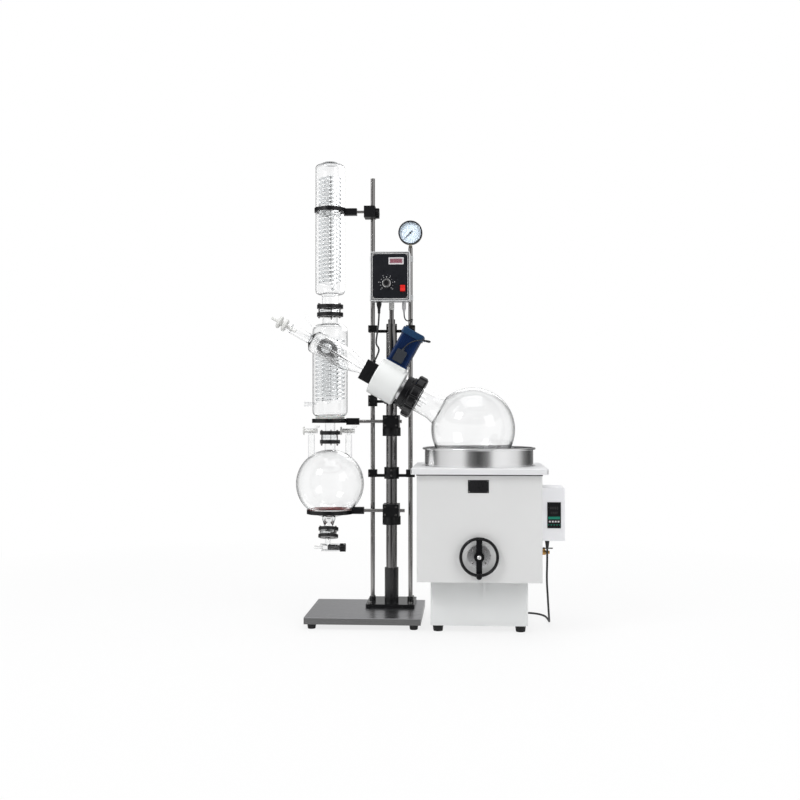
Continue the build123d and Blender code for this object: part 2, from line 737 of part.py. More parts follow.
# Seal housing behind the gears, which holds the glass duct
with BuildPart() as seal_housing:
    with BuildSketch(head_plane(housing_end)) as seal_shape:
        RectangleRounded(2 * seal_half, 2 * seal_half, 5)
    extrude(seal_shape.sketch, amount=seal_end - housing_end)
    with BuildSketch(head_plane(housing_end + 24)) as seam:
        Rectangle(2 * seal_half + 4, 2 * seal_half + 4)
        RectangleRounded(2 * seal_half - 2, 2 * seal_half - 2, 4, mode=Mode.SUBTRACT)
    extrude(seam.sketch, amount=2, mode=Mode.SUBTRACT)
    with BuildSketch(Plane(origin=head_point((housing_end + seal_end) / 2 + 4, seal_half - 1), x_dir=to_front,
                           z_dir=square_up)) as seal_boss:
        Circle(7)
    extrude(seal_boss.sketch, amount=gland_length + 1)
    head_disc(housing_end, seal_end, duct_tube_radius + wall_gap, Mode.SUBTRACT)
    head_disc(housing_end, housing_end + 6, spindle_radius + 3, Mode.SUBTRACT)
finish(seal_housing.part, "seal_housing")

# Hub and collar that turn with the spindle
with BuildPart() as flask_hub:
    head_turned(
        [(duct_tube_radius + 2, hub_start), (hub_radius + 4, hub_start), (hub_radius + 4, hub_start + 10),
         (hub_radius, hub_start + 14), (hub_radius, hub_end), (45, hub_end), (45, housing_start - 0.4),
         (duct_tube_radius + 2, housing_start - 0.4)],
        [0, 0, 0, 4, 0, 0],
    )
    head_disc(spindle_start, housing_start, spindle_radius + 0.05, Mode.SUBTRACT)
finish(flask_hub.part, "flask_hub")

# Ring nut with a notched rim
notch_count = 12
with BuildPart() as ring_nut:
    head_turned(
        [(neck_radius + 0.5, ring_nut_start), (ring_nut_radius - 8, ring_nut_start),
         (ring_nut_radius, ring_nut_start + 8), (ring_nut_radius, hub_start - 5), (ring_nut_radius - 5, hub_start),
         (flask_flange_radius + 0.5, hub_start), (flask_flange_radius + 0.5, neck_end),
         (neck_radius + 0.5, neck_end)],
        [0, 0, 0, 0, 0, 0],
    )
    with BuildSketch(head_plane(ring_nut_start - 1)) as notches:
        with PolarLocations(ring_nut_radius + 2, notch_count):
            Circle(9)
    extrude(notches.sketch, amount=hub_start - ring_nut_start + 2, mode=Mode.SUBTRACT)
finish(ring_nut.part, "ring_nut")

# Evaporating flask
with BuildPart() as evaporating_flask:
    with Locations(Pos(*flask_centre)):
        Sphere(flask_radius)
    head_turned([(0, 100), (60, 100), (60, 152), (neck_radius, 186), (neck_radius, neck_end),
                 (flask_flange_radius, neck_end), (flask_flange_radius, hub_start), (0, hub_start)],
                [0, 60, 60, 0, 0, 0])
    with Locations(Pos(*flask_centre)):
        Sphere(flask_radius - glass_wall, mode=Mode.SUBTRACT)
    neck_bore = neck_radius - glass_wall
    head_turned([(0, 100), (60 - glass_wall, 100), (60 - glass_wall, 152), (neck_bore, 187), (neck_bore, hub_start),
                 (0, hub_start)],
                [0, 60, 60, 0], Mode.SUBTRACT)
finish(evaporating_flask.part, "evaporating_flask")

# Vapour duct with the feed tube inside and the side branch to the condenser
barrel_radius = 19
barrel_start = 752
valve_bore = 8.2
branch = head_point(branch_s)
with BuildPart() as vapour_duct:
    head_turned(
        [(0, duct_tube_start), (duct_tube_radius, duct_tube_start), (duct_tube_radius, 512), (duct_radius, 578),
         (duct_radius, 730), (duct_tip_radius, 748), (barrel_radius, barrel_start), (barrel_radius, duct_end - 4),
         (12, duct_end - 4), (12, 856), (0, 856)],
        [0, 30, 30, 14, 2, 0, 0, 3, 0],
    )
    bar_along_y(branch.X, branch.Z, head_y, joint_y, port_radius)
    bar_along_y(branch.X, branch.Z, joint_y - 6, joint_y, port_flange_radius)
    glass = 3
    head_turned(
        [(0, duct_tube_start), (duct_tube_radius - glass, duct_tube_start), (duct_tube_radius - glass, 512),
         (duct_radius - glass, 579), (duct_radius - glass, 728), (duct_tip_radius - glass, 743), (0, 743)],
        [0, 30, 30, 12, 0], Mode.SUBTRACT,
    )
    head_disc(barrel_start + 3, duct_end - 8, barrel_radius - glass, Mode.SUBTRACT)
    head_disc(duct_end - 9, 860, valve_bore, Mode.SUBTRACT)
    bar_along_y(branch.X, branch.Z, head_y, joint_y, port_radius - glass, Mode.SUBTRACT)
    head_disc(duct_tube_start - 12, barrel_start, feed_tube_radius)
    head_disc(duct_tube_start - 12, barrel_start + 4, feed_tube_radius - 2, Mode.SUBTRACT)
finish(vapour_duct.part, "vapour_duct")

# Feed valve: PTFE stem with two discs
with BuildPart() as feed_valve_knob:
    head_disc(duct_end - 26, 858, valve_bore - 0.2)
    head_turned([(0, 857), (23, 857), (26, 860), (26, 868), (23, 871), (12, 871), (12, 883), (23, 883),
                 (26, 886), (26, 892), (23, 895), (8, 895), (6, 899), (6, feed_tube_end), (0, feed_tube_end)],
                [0] * 13)
finish(feed_valve_knob.part, "feed_valve_knob")

# Clamp rings on the joint between the duct and the condenser, and on the three glass joints
ring_outer = 54.5
low_ring_outer = 42
drain_sin = sin(radians(drain_tilt))
drain_cos = cos(radians(drain_tilt))
drain_down = Vector(0, -drain_sin, -drain_cos)
receiver_centre = Vector(glass_x, arm_y, receiver_z)
drain_axis = Axis(receiver_centre, drain_down)


def drain_plane(distance):
    return Plane(origin=receiver_centre + drain_down * distance, x_dir=(1, 0, 0), z_dir=drain_down)


def drain_disc(start, end, radius, mode=Mode.ADD):
    with BuildSketch(drain_plane(start)) as outline:
        Circle(radius)
    extrude(outline.sketch, amount=end - start, mode=mode)


lug_angles = (90, 210, 330)
with BuildPart() as joint_clamps:
    for bottom, top, outer, bore, lug_at, lug_hole in (
        (1276, 1292, ring_outer, upper_neck_radius + 0.4, 49.5, 3.2),
        (1243, 1259, ring_outer, lower_neck_radius + 0.4, 49.5, 3.2),
        (752, 767, low_ring_outer, drip_radius + 0.4, 37.7, 2.7),
        (715, 730, low_ring_outer, receiver_neck_radius + 0.4, 37.7, 2.7),
    ):
        post(glass_x, arm_y, bottom, top, outer)
        post(glass_x, arm_y, bottom, top, bore, Mode.SUBTRACT)
        for angle in lug_angles:
            post(glass_x + lug_at * cos(radians(angle)), arm_y + lug_at * sin(radians(angle)), bottom, top,
                 lug_hole, Mode.SUBTRACT)
    for start, end, bore in ((184, 197, 18.4), (213, 226, 12.4)):
        with BuildSketch(drain_plane(start)) as drain_ring:
            Circle(41)
            Circle(bore, mode=Mode.SUBTRACT)
            with PolarLocations(36.5, 3, start_angle=30):
                Circle(2.2, mode=Mode.SUBTRACT)
        extrude(drain_ring.sketch, amount=end - start)
    for front in (joint_y - 14, joint_y + 6):
        with BuildSketch(Plane(origin=(branch.X, front, branch.Z), x_dir=(1, 0, 0), z_dir=(0, 1, 0))) as port_ring:
            Circle(40)
            with PolarLocations(40, 3, start_angle=30):
                Circle(7)
            Circle(port_radius + 0.4, mode=Mode.SUBTRACT)
            with PolarLocations(41, 3, start_angle=30):
                Circle(2.7, mode=Mode.SUBTRACT)
        extrude(port_ring.sketch, amount=8)
finish(joint_clamps.part, "joint_clamps")

# All screws and bolts of the stand, the head and the glass joints
with BuildPart() as steel_fasteners:
    for x, front, z in screw_places:
        bar_along_y(x, z, front - 4, front, 4.5)
        bar_along_y(x, z, front - 4, front + screw_length, screw_radius)
    for side_x in (-bolt_offset, bolt_offset):
        for side_y in (-bolt_offset, bolt_offset):
            post(side_x, side_y, plate_top, plate_top + 8, 8)
            post(side_x, side_y, tray_top - 12, plate_top, 4.2)
            post(side_x, side_y, tray_top - tray_sheet - 6, tray_top - tray_sheet, 7.5)
    for across in (-37, 37):
        for along in (-37, 37):
            with BuildSketch(Plane(origin=head_point(motor_s + along, motor_seat + motor_flange_thickness, across),
                                   x_dir=to_front, z_dir=-square_up)) as shank:
                Circle(3)
            extrude(shank.sketch, amount=motor_flange_thickness)
    for bottom, top, at, shank, head in ((1243, 1292, 49.5, 3, 5), (715, 767, 37.7, 2.5, 4.2)):
        for angle in lug_angles:
            x = glass_x + at * cos(radians(angle))
            y = arm_y + at * sin(radians(angle))
            post(x, y, bottom - 9, top, shank)
            post(x, y, top, top + 5, head)
            post(x, y, bottom - 6, bottom, head)
    with BuildSketch(drain_plane(180)) as long_shanks:
        with PolarLocations(36.5, 3, start_angle=30):
            Circle(2)
    extrude(long_shanks.sketch, amount=50)
    for start in (180, 226):
        with BuildSketch(drain_plane(start)) as heads:
            with PolarLocations(36.5, 3, start_angle=30):
                Circle(3.8)
        extrude(heads.sketch, amount=4)
    for front, back, radius in ((joint_y - 18, joint_y + 18, 2.5), (joint_y - 18, joint_y - 14, 4.5),
                                (joint_y + 14, joint_y + 18, 4.5)):
        with BuildSketch(Plane(origin=(branch.X, front, branch.Z), x_dir=(1, 0, 0), z_dir=(0, 1, 0))) as port_bolts:
            with PolarLocations(41, 3, start_angle=30):
                Circle(radius)
        extrude(port_bolts.sketch, amount=back - front)
finish(steel_fasteners.part, "steel_fasteners")

# Upper condenser
glass_centre = (glass_x, arm_y)
with BuildPart() as upper_condenser:
    turned(glass_centre,
           [(0, joint_top_z), (44, joint_top_z), (44, joint_top_z + flange_thickness),
            (upper_neck_radius, joint_top_z + flange_thickness), (upper_neck_radius, upper_bottom),
            (upper_body_radius, upper_bottom), (upper_body_radius, upper_top - 8), (34, upper_top), (30, upper_top + 5),
            (0, upper_top + 5)],
           [0, 0, 0, 10, 16, 14, 4, 2])
    for height in (1834, 1363):
        bar_along_y(glass_x, height, arm_y + 30, arm_y + upper_body_radius + 34, nozzle_radius)
        bar_along_y(glass_x, height, arm_y + upper_body_radius + 12, arm_y + upper_body_radius + 16, nozzle_radius + 1)
        bar_along_y(glass_x, height, arm_y + upper_body_radius + 26, arm_y + upper_body_radius + 30, nozzle_radius + 1)
    wall = 3.2
    turned(glass_centre,
           [(0, joint_top_z), (upper_neck_radius - wall, joint_top_z), (upper_neck_radius - wall, upper_bottom + wall),
            (upper_body_radius - wall, upper_bottom + wall), (upper_body_radius - wall, upper_top - 8 - wall),
            (32, upper_top - wall), (0, upper_top - wall)],
           [0, 12, 13, 11, 0], Mode.SUBTRACT)
    for height in (1834, 1363):
        bar_along_y(glass_x, height, arm_y, arm_y + upper_body_radius + 34, nozzle_bore, Mode.SUBTRACT)
finish(upper_condenser.part, "upper_condenser")

# Lower condenser with the vapour port, two water nozzles and a vent nipple
lower_ports = (1166, 879)
nipple_root = Vector(glass_x - 58, arm_y, 1188)
nipple_tip = Vector(glass_x - 103, arm_y, 1247)
nipple_along = (nipple_tip - nipple_root).normalized()
with BuildPart() as lower_condenser:
    turned(glass_centre,
           [(0, joint_low_z), (33, joint_low_z), (33, joint_low_z + low_flange_thickness),
            (drip_radius, joint_low_z + low_flange_thickness), (drip_radius, lower_bottom),
            (lower_body_radius, lower_bottom), (lower_body_radius, lower_top), (lower_neck_radius, lower_top),
            (lower_neck_radius, joint_top_z - flange_thickness), (44, joint_top_z - flange_thickness), (44, joint_top_z),
            (0, joint_top_z)],
           [0, 0, 0, 0, 24, 31, 8, 0, 0, 0])
    bar_along_y(branch.X, branch.Z, joint_y, arm_y, port_radius)
    bar_along_y(branch.X, branch.Z, joint_y, joint_y + 6, port_flange_radius)
    for height in lower_ports:
        bar_along_x(glass_x - lower_body_radius - 37, glass_x - 40, arm_y, height, nozzle_radius)
        bar_along_x(glass_x - lower_body_radius - 34, glass_x - lower_body_radius - 30, arm_y, height, nozzle_radius + 1)
        bar_along_x(glass_x - lower_body_radius - 20, glass_x - lower_body_radius - 16, arm_y, height, nozzle_radius + 1)
    with BuildSketch(Plane(origin=nipple_root, z_dir=nipple_along)) as nipple:
        Circle(6)
    extrude(nipple.sketch, amount=(nipple_tip - nipple_root).length)
    turned(glass_centre,
           [(0, joint_low_z), (drip_radius - 3, joint_low_z), (drip_radius - 3, lower_bottom + 3.5),
            (lower_body_radius - 3.5, lower_bottom + 3.5), (lower_body_radius - 3.5, lower_top - 3.5),
            (lower_neck_radius - 3.2, lower_top - 3.5), (lower_neck_radius - 3.2, joint_top_z), (0, joint_top_z)],
           [0, 0, 20.5, 27.5, 11, 0], Mode.SUBTRACT)
    bar_along_y(branch.X, branch.Z, joint_y, arm_y, port_radius - 3, Mode.SUBTRACT)
    for height in lower_ports:
        bar_along_x(glass_x - lower_body_radius - 37, glass_x, arm_y, height, nozzle_bore, Mode.SUBTRACT)
    with BuildSketch(Plane(origin=nipple_root, z_dir=nipple_along)) as nipple_hole:
        Circle(3.5)
    extrude(nipple_hole.sketch, amount=(nipple_tip - nipple_root).length, mode=Mode.SUBTRACT)
finish(lower_condenser.part, "lower_condenser")

# Cooling coils: ribbed sleeves with a pipe out to each nozzle
def coil_sleeve(bottom, turns, pitch, mean, tube, skin):
    outer = []
    inner = []
    for turn in range(turns):
        height = bottom + turn * pitch
        outer += [(mean + tube / 2, height), (mean + 0.5, height + pitch / 2)]
        inner += [(mean + tube / 2 - skin, height), (mean + 0.5 - skin, height + pitch / 2)]
    outer.append((mean + tube / 2, bottom + turns * pitch))
    inner.append((mean + tube / 2 - skin, bottom + turns * pitch))
    with BuildSketch(Plane(origin=(glass_x, arm_y, 0), x_dir=(1, 0, 0), z_dir=(0, -1, 0))) as rib_shape:
        with BuildLine():
            Polyline(*outer, *reversed(inner), close=True)
        make_face()
    revolve(rib_shape.sketch, axis=Axis((glass_x, arm_y, 0), (0, 0, 1)))


pipe_radius = nozzle_bore - wall_gap
with BuildPart() as condenser_coils:
    coil_sleeve(1381, 26, 17, 42, 12, 4)
    coil_sleeve(1381, 26, 17, 28, 10, 4)
    coil_sleeve(897, 15, 17, 55.5, 12, 4)
    coil_sleeve(897, 15, 17, 30, 12, 4)
    # Plates that join each pair of sleeves at both ends
    for height in (1381, 1381 + 26 * 17 - 4):
        post(glass_x, arm_y, height, height + 4, 46)
        post(glass_x, arm_y, height, height + 4, 26, Mode.SUBTRACT)
    for height in (897, 897 + 15 * 17 - 4):
        post(glass_x, arm_y, height, height + 4, 59)
        post(glass_x, arm_y, height, height + 4, 27, Mode.SUBTRACT)
    nozzle_tip = arm_y + upper_body_radius + 34
    bar_along_y(glass_x, 1834, arm_y + 40, nozzle_tip - 4, pipe_radius)
    post(glass_x, arm_y + 44, 1820, 1836, 4.4)
    bar_along_y(glass_x, 1363, arm_y + 40, nozzle_tip - 4, pipe_radius)
    post(glass_x, arm_y + 44, 1361, 1384, 4.4)
    for height, low, high in ((1166, 1149, 1168), (879, 877, 900)):
        bar_along_x(glass_x - lower_body_radius - 33, glass_x - 51, arm_y, height, pipe_radius)
        post(glass_x - 56, arm_y, low, high, 4.4)
finish(condenser_coils.part, "condenser_coils")

# Receiver with two vent stopcocks
vent_z = 767.5
vent_barrel = 10.5
vent_bore = 7.2
with BuildPart() as receiver_flask:
    with Locations(Pos(*receiver_centre)):
        Sphere(receiver_radius)
    post(glass_x, arm_y, receiver_z + 100, joint_low_z - low_flange_thickness, receiver_neck_radius)
    post(glass_x, arm_y, joint_low_z - low_flange_thickness, joint_low_z, 33)
    for side in (-1, 1):
        x = glass_x + side * vent_offset
        post(x, arm_y, receiver_z + 100, vent_top, vent_radius)
        post(x, arm_y, vent_top - 3, vent_z, 8)
    with BuildSketch(Plane(origin=receiver_centre, x_dir=(1, 0, 0),
                           z_dir=Vector(0, drain_cos, -drain_sin))) as drain_profile:
        with BuildLine():
            FilletPolyline([(0, 120), (27, 120), (27, 150), (18, 178), (18, 197), (34, 197), (34, 205), (0, 205)],
                           radius=[0, 10, 10, 0, 0, 0])
            Line((0, 205), (0, 120))
        make_face()
    revolve(drain_profile.sketch, axis=drain_axis)
    with Locations(Pos(*receiver_centre)):
        Sphere(receiver_radius - glass_wall, mode=Mode.SUBTRACT)
    post(glass_x, arm_y, receiver_z + 100, joint_low_z, receiver_neck_radius - 3, Mode.SUBTRACT)
    for side in (-1, 1):
        x = glass_x + side * vent_offset
        post(x, arm_y, receiver_z + 90, vent_top - 2, vent_radius - 2.5, Mode.SUBTRACT)
        bar_along_x(x - 25, x + 25, arm_y, vent_z, vent_barrel)
        # Bent outlet that rises from the barrel
        with BuildLine() as hook:
            FilletPolyline((x + 14, arm_y, vent_z), (x + 14, arm_y, vent_z + 19), (x + 34, arm_y, vent_z + 19),
                           radius=7)
        with BuildSketch(Plane(origin=(x + 14, arm_y, vent_z), z_dir=(0, 0, 1))) as hook_ring:
            Circle(4)
        sweep(hook_ring.sketch, path=hook.line)
        post(x, arm_y, vent_top - 10, vent_z, 3, Mode.SUBTRACT)
        bar_along_x(x - 26, x + 26, arm_y, vent_z, vent_bore, Mode.SUBTRACT)
    drain_disc(100, 205, 15, Mode.SUBTRACT)
finish(receiver_flask.part, "receiver_flask")


# Plug and handle of each vent stopcock
def vent_key(x):
    bar_along_x(x - 31, x + 24, arm_y, vent_z, vent_bore - 0.2)
    bar_along_x(x - 35, x - 26, arm_y, vent_z, 9)
    block(x - 35, x - 28, arm_y - 3, arm_y + 3, vent_z - 17, vent_z + 17)
    bar_along_y(x, vent_z, arm_y - 10, arm_y + 10, 2, Mode.SUBTRACT)


with BuildPart() as left_vent_key:
    vent_key(glass_x - vent_offset)
finish(left_vent_key.part, "left_vent_key")
with BuildPart() as right_vent_key:
    vent_key(glass_x + vent_offset)
finish(right_vent_key.part, "right_vent_key")

# Drain valve under the receiver
valve_centre = receiver_centre + drain_down * 266
barrel_left = -284
barrel_right = -204
with BuildPart() as drain_valve:
    drain_disc(205, 213, 34)
    drain_disc(213, 260, 12)
    bar_along_x(barrel_left, barrel_right, valve_centre.Y, valve_centre.Z, 15)
    bar_along_x(barrel_left - 27, barrel_left, valve_centre.Y, valve_centre.Z, 5)
    for start in (barrel_left - 26, barrel_left - 17, barrel_left - 8):
        bar_along_x(start, start + 5, valve_centre.Y, valve_centre.Z, 6.5)
    drain_disc(205, 266, 6, Mode.SUBTRACT)
    bar_along_x(barrel_left - 27, barrel_right, valve_centre.Y, valve_centre.Z, 3, Mode.SUBTRACT)
    bar_along_x(barrel_left + 8, barrel_right, valve_centre.Y, valve_centre.Z, 9.2, Mode.SUBTRACT)
finish(drain_valve.part, "drain_valve")
with BuildPart() as drain_knob:
    bar_along_x(barrel_right - 50, barrel_right, valve_centre.Y, valve_centre.Z, 9)
    bar_along_x(barrel_right + 0.4, barrel_right + 23, valve_centre.Y, valve_centre.Z, 17)
    bar_along_x(barrel_right - 1, barrel_right + 2, valve_centre.Y, valve_centre.Z, 9)
    with BuildSketch(Plane.YZ.offset(barrel_right + 0.4)) as grips:
        with Locations((valve_centre.Y, valve_centre.Z)):
            with PolarLocations(18, 10):
                Circle(2.5)
    extrude(grips.sketch, amount=17, mode=Mode.SUBTRACT)
finish(drain_knob.part, "drain_knob")

# Cables: straight runs joined by arcs as large as the runs allow
def cable(points, radius, name):
    points = [Vector(*point) for point in points]
    runs = [points[i + 1] - points[i] for i in range(len(points) - 1)]
    radii = []
    for before, after in zip(runs, runs[1:]):
        half_turn = radians(before.get_angle(after)) / 2
        radii.append(round(0.45 * min(before.length, after.length) / tan(half_turn), 2))
    with BuildPart() as tube:
        with BuildLine() as route:
            FilletPolyline(points, radius=radii)
        with BuildSketch(Plane(origin=points[0], z_dir=runs[0])) as section:
            Circle(radius)
        sweep(section.sketch, path=route.line)
    print(name, "radii", radii, "runs", [round(run.length) for run in runs],
          "length", round(tube.part.volume / (pi * radius**2)))
    finish(tube.part, name)


seal_gland = head_point((housing_end + seal_end) / 2 + 4, seal_half + gland_length)
cable([(cable_x, box_mid_y, gland_bottom), (-49, -56, 1212), (-60, -66, 1170), (-66, -90, 1134),
       (-58, -127, 1114), (-41, -163, 1107), (-32, -198, 1092), seal_gland], 3.5, "seal_cable")
cap_gland = head_point(motor_s + 34, motor_top + gland_length)
cable([(connector_x, box_mid_y, plug_bottom), (55.5, -58, 1243), (61, -76, 1227), (71, -103, 1218),
       (83, -134, 1217), (94, -164, 1221), (98, -189, 1214), cap_gland], 2.5, "motor_cable")
cable([head_point(394, lead_low, lead_front), head_point(392, 164, 49), head_point(376, 190, 55),
       head_point(352, 208, 58), head_point(328, 220, 44), head_point(316, 224, 18), head_point(322, 218, -6),
       head_point(motor_s - motor_cap_side / 2 - gland_length - 1.5, 216, -14)], 2.5, "motor_lead")

# Bath pedestal with four guide tubes, the lift rack and its top plate
left_side = bath_x - pedestal_half_width
right_side = bath_x + pedestal_half_width
front_side = bath_y - pedestal_half_depth
back_side = bath_y + pedestal_half_depth
rack_left = bath_x - 1 + pinion_radius
wheel_x = bath_x - 1
rack_width = 12
rack_top = pot_bottom - heater_height - lift_travel - 1  # stays under the lowered heating ring
guide_places = [(bath_x + sx * guide_x, bath_y + sy * guide_y) for sx in (-1, 1) for sy in (-1, 1)]
with BuildPart() as bath_pedestal:
    block(left_side, right_side, front_side, back_side, pedestal_bottom, pedestal_top)
    fillet(bath_pedestal.edges().filter_by(Axis.Z), 8)
    block(left_side + 3, right_side - 3, front_side + 3, back_side - 3, pedestal_bottom + 3, pedestal_top - 4,
          Mode.SUBTRACT)
    for x, y in guide_places:
        post(x, y, pedestal_bottom, pedestal_top, guide_radius + 4)
        post(x, y, pedestal_bottom + 4, pedestal_top, guide_radius + wall_gap, Mode.SUBTRACT)
    block(rack_left, rack_left + rack_width, front_side - 14, front_side, 138, rack_top)
finish(bath_pedestal.part, "bath_pedestal")

# Bath shell: open below, with a deck inside and four guide posts
shell_front = bath_y - bath_half - 0.5
shell_back = bath_y + bath_half + 0.5
shell_left = bath_x - bath_half
shell_right = bath_x + bath_half
with BuildPart() as bath_shell:
    block(shell_left, shell_right, shell_front, shell_back, bath_bottom, bath_top)
    fillet(bath_shell.edges().filter_by(Axis.Z), 6)
    with BuildSketch(Plane.XY.offset(bath_bottom)) as hollow:
        with Locations((bath_x, bath_y)):
            RectangleRounded(2 * bath_half - 2 * sheet, 2 * bath_half + 1 - 2 * sheet, 4)
    extrude(hollow.sketch, amount=bath_top - bath_bottom, mode=Mode.SUBTRACT)
    block(shell_left + sheet, shell_right - sheet, shell_front + sheet, shell_back - sheet,
          deck_z, deck_z + deck_thickness)
    block(rack_left - 4, rack_left + rack_width + 4, front_side - 18, front_side + 4,
          deck_z, deck_z + deck_thickness, Mode.SUBTRACT)
    for x, y in guide_places:
        post(x, y, 192, deck_z, guide_radius)
    # Bearing of the wheel's shaft, and the holes for the side box
    bar_along_y(wheel_x, wheel_z, shell_front, shell_front + 40, 12)
    bar_along_y(wheel_x, wheel_z, shell_front, shell_front + 40, 6.2, Mode.SUBTRACT)
finish(bath_shell.part, "bath_shell")

with BuildPart() as bath_lid:
    with BuildSketch(Plane.XY.offset(bath_top)) as lid_shape:
        with Locations((bath_x, bath_y)):
            RectangleRounded(2 * lid_half, 2 * lid_half, 10)
    extrude(lid_shape.sketch, amount=lid_height)
    fillet(bath_lid.faces().sort_by(Axis.Z)[-1].edges(), 4)
    block(bath_x - lid_half + sheet, bath_x + lid_half - sheet, bath_y - lid_half + sheet,
          bath_y + lid_half - sheet, bath_top, bath_top + lid_height - 3, Mode.SUBTRACT)
    block(shell_left + 8, shell_right - 8, shell_front + 8, shell_back - 8, bath_top, bath_top + lid_height)
    block(shell_left + 11, shell_right - 11, shell_front + 11, shell_back - 11, bath_top,
          bath_top + lid_height - 3, Mode.SUBTRACT)
    post(bath_x, bath_y, bath_top, bath_top + lid_height, pot_radius + wall_gap, Mode.SUBTRACT)
    with BuildSketch(Plane.XY.offset(bath_top)) as seat_shape:
        with Locations((bath_x, bath_y)):
            Rectangle(2 * lid_half - 2 * sheet, 2 * lid_half - 2 * sheet)
            Rectangle(2 * bath_half - 16, 2 * bath_half - 16, mode=Mode.SUBTRACT)
    extrude(seat_shape.sketch, amount=2)
finish(bath_lid.part, "bath_lid")

lid_top = bath_top + lid_height
with BuildPart() as bath_pot:
    turned((bath_x, bath_y),
           [(0, pot_bottom), (pot_radius, pot_bottom), (pot_radius, lid_top), (pot_radius + 9, lid_top),
            (pot_radius + 9, lid_top + 2), (pot_radius, lid_top + 2), (pot_radius, pot_top - 8),
            (pot_rim_radius, pot_top - 8), (pot_rim_radius, pot_top), (pot_radius - pot_wall, pot_top),
            (pot_radius - pot_wall, pot_bottom + pot_wall), (0, pot_bottom + pot_wall)],
           [12, 0, 0, 0, 0, 0, 3, 3, 0, 10.5])
    # Heating ring bonded under the bottom
    post(bath_x, bath_y, pot_bottom - heater_height, pot_bottom, 170)
    post(bath_x, bath_y, pot_bottom - heater_height, pot_bottom, 60, Mode.SUBTRACT)
finish(bath_pot.part, "bath_pot")

# Lift wheel: rim, one spoke bar, hub and the shaft with its pinion
rim_mean = wheel_radius - wheel_rim_radius
grip_z = wheel_z - rim_mean
with BuildPart() as lift_wheel:
    with BuildSketch(Plane(origin=(wheel_x, wheel_y, wheel_z), x_dir=(1, 0, 0), z_dir=(0, 0, 1))) as rim_shape:
        with Locations((rim_mean, 0)):
            Ellipse(wheel_rim_radius, wheel_rim_radius + 2)
    revolve(rim_shape.sketch, axis=Axis((wheel_x, wheel_y, wheel_z), (0, 1, 0)))
    block(wheel_x - 11, wheel_x + 11, wheel_y - 5, wheel_y + 4.6, wheel_z - rim_mean + 2, wheel_z + rim_mean - 2)
    bar_along_y(wheel_x, wheel_z, wheel_y - 9, shell_front - 1, 19)
    bar_along_y(wheel_x, wheel_z, wheel_y, front_side - 1, 6)
    bar_along_y(wheel_x, wheel_z, front_side - 14, front_side - 2, pinion_radius - 0.3)
    bar_along_y(wheel_x, grip_z, wheel_y - 8.4, wheel_y + 2, 9.3)
    bar_along_y(wheel_x, grip_z, wheel_y - 33, wheel_y - 3, 4)
    bar_along_y(wheel_x, wheel_z, wheel_y - 10.5, wheel_y - 8, 14)
finish(lift_wheel.part, "lift_wheel")
with BuildPart() as wheel_grip:
    grip_end = wheel_y - 35
    bar_along_y(wheel_x, grip_z, grip_end, wheel_y - 8.8, 11.5)
    fillet(wheel_grip.edges().filter_by(GeomType.CIRCLE), 4)
    bar_along_y(wheel_x, grip_z, wheel_y - 33.4, wheel_y, 4.2, Mode.SUBTRACT)
finish(wheel_grip.part, "wheel_grip")

# Side box with the temperature controller
cord_radius = 4
cord_x = 626
cord_front = -285
cord_start = side_box_bottom - 30
controller_half_width = 24
controller_half_height = 48
box_y = (side_box_front + side_box_back) / 2
side_box_top = side_box_bottom + side_box_height
with BuildPart() as bath_side_box:
    block(shell_right, side_box_right, side_box_front, side_box_back, side_box_bottom, side_box_top)
    fillet(bath_side_box.faces().sort_by(Axis.X)[-1].edges(), 4)
    block(shell_right + 2, side_box_right - 2, side_box_front + 2, side_box_back - 2, side_box_bottom + 2,
          side_box_top - 2, Mode.SUBTRACT)
    block(controller_x - controller_half_width - wall_gap, controller_x + controller_half_width + wall_gap,
          side_box_front, side_box_front + 2, controller_z - controller_half_height - wall_gap,
          controller_z + controller_half_height + wall_gap, Mode.SUBTRACT)
    # Tapered strain relief of the power cord
    turned((cord_x, cord_front),
           [(0, cord_start), (cord_radius + 1.5, cord_start), (cord_radius + 5, side_box_bottom - 3),
            (cord_radius + 5, side_box_bottom + 2), (0, side_box_bottom + 2)], [0, 0, 0])
finish(bath_side_box.part, "bath_side_box")

key_z = controller_z - 38
key_places = [controller_x - 16.5 + 11 * step for step in range(4)]
controller_face = side_box_front - 2
with BuildPart() as temperature_controller:
    block(controller_x - controller_half_width, controller_x + controller_half_width, side_box_front,
          side_box_front + 60, controller_z - controller_half_height, controller_z + controller_half_height)
    block(controller_x - controller_half_width - 2, controller_x + controller_half_width + 2, controller_face,
          side_box_front, controller_z - controller_half_height - 2, controller_z + controller_half_height + 2)
    for x in key_places:
        block(x - 4, x + 4, controller_face - 1, controller_face, key_z - 3, key_z + 3)
    # Recess of the display
    block(controller_x - 20, controller_x + 20, controller_face, controller_face + 1, controller_z - 14,
          controller_z + 38, Mode.SUBTRACT)
finish(temperature_controller.part, "temperature_controller")
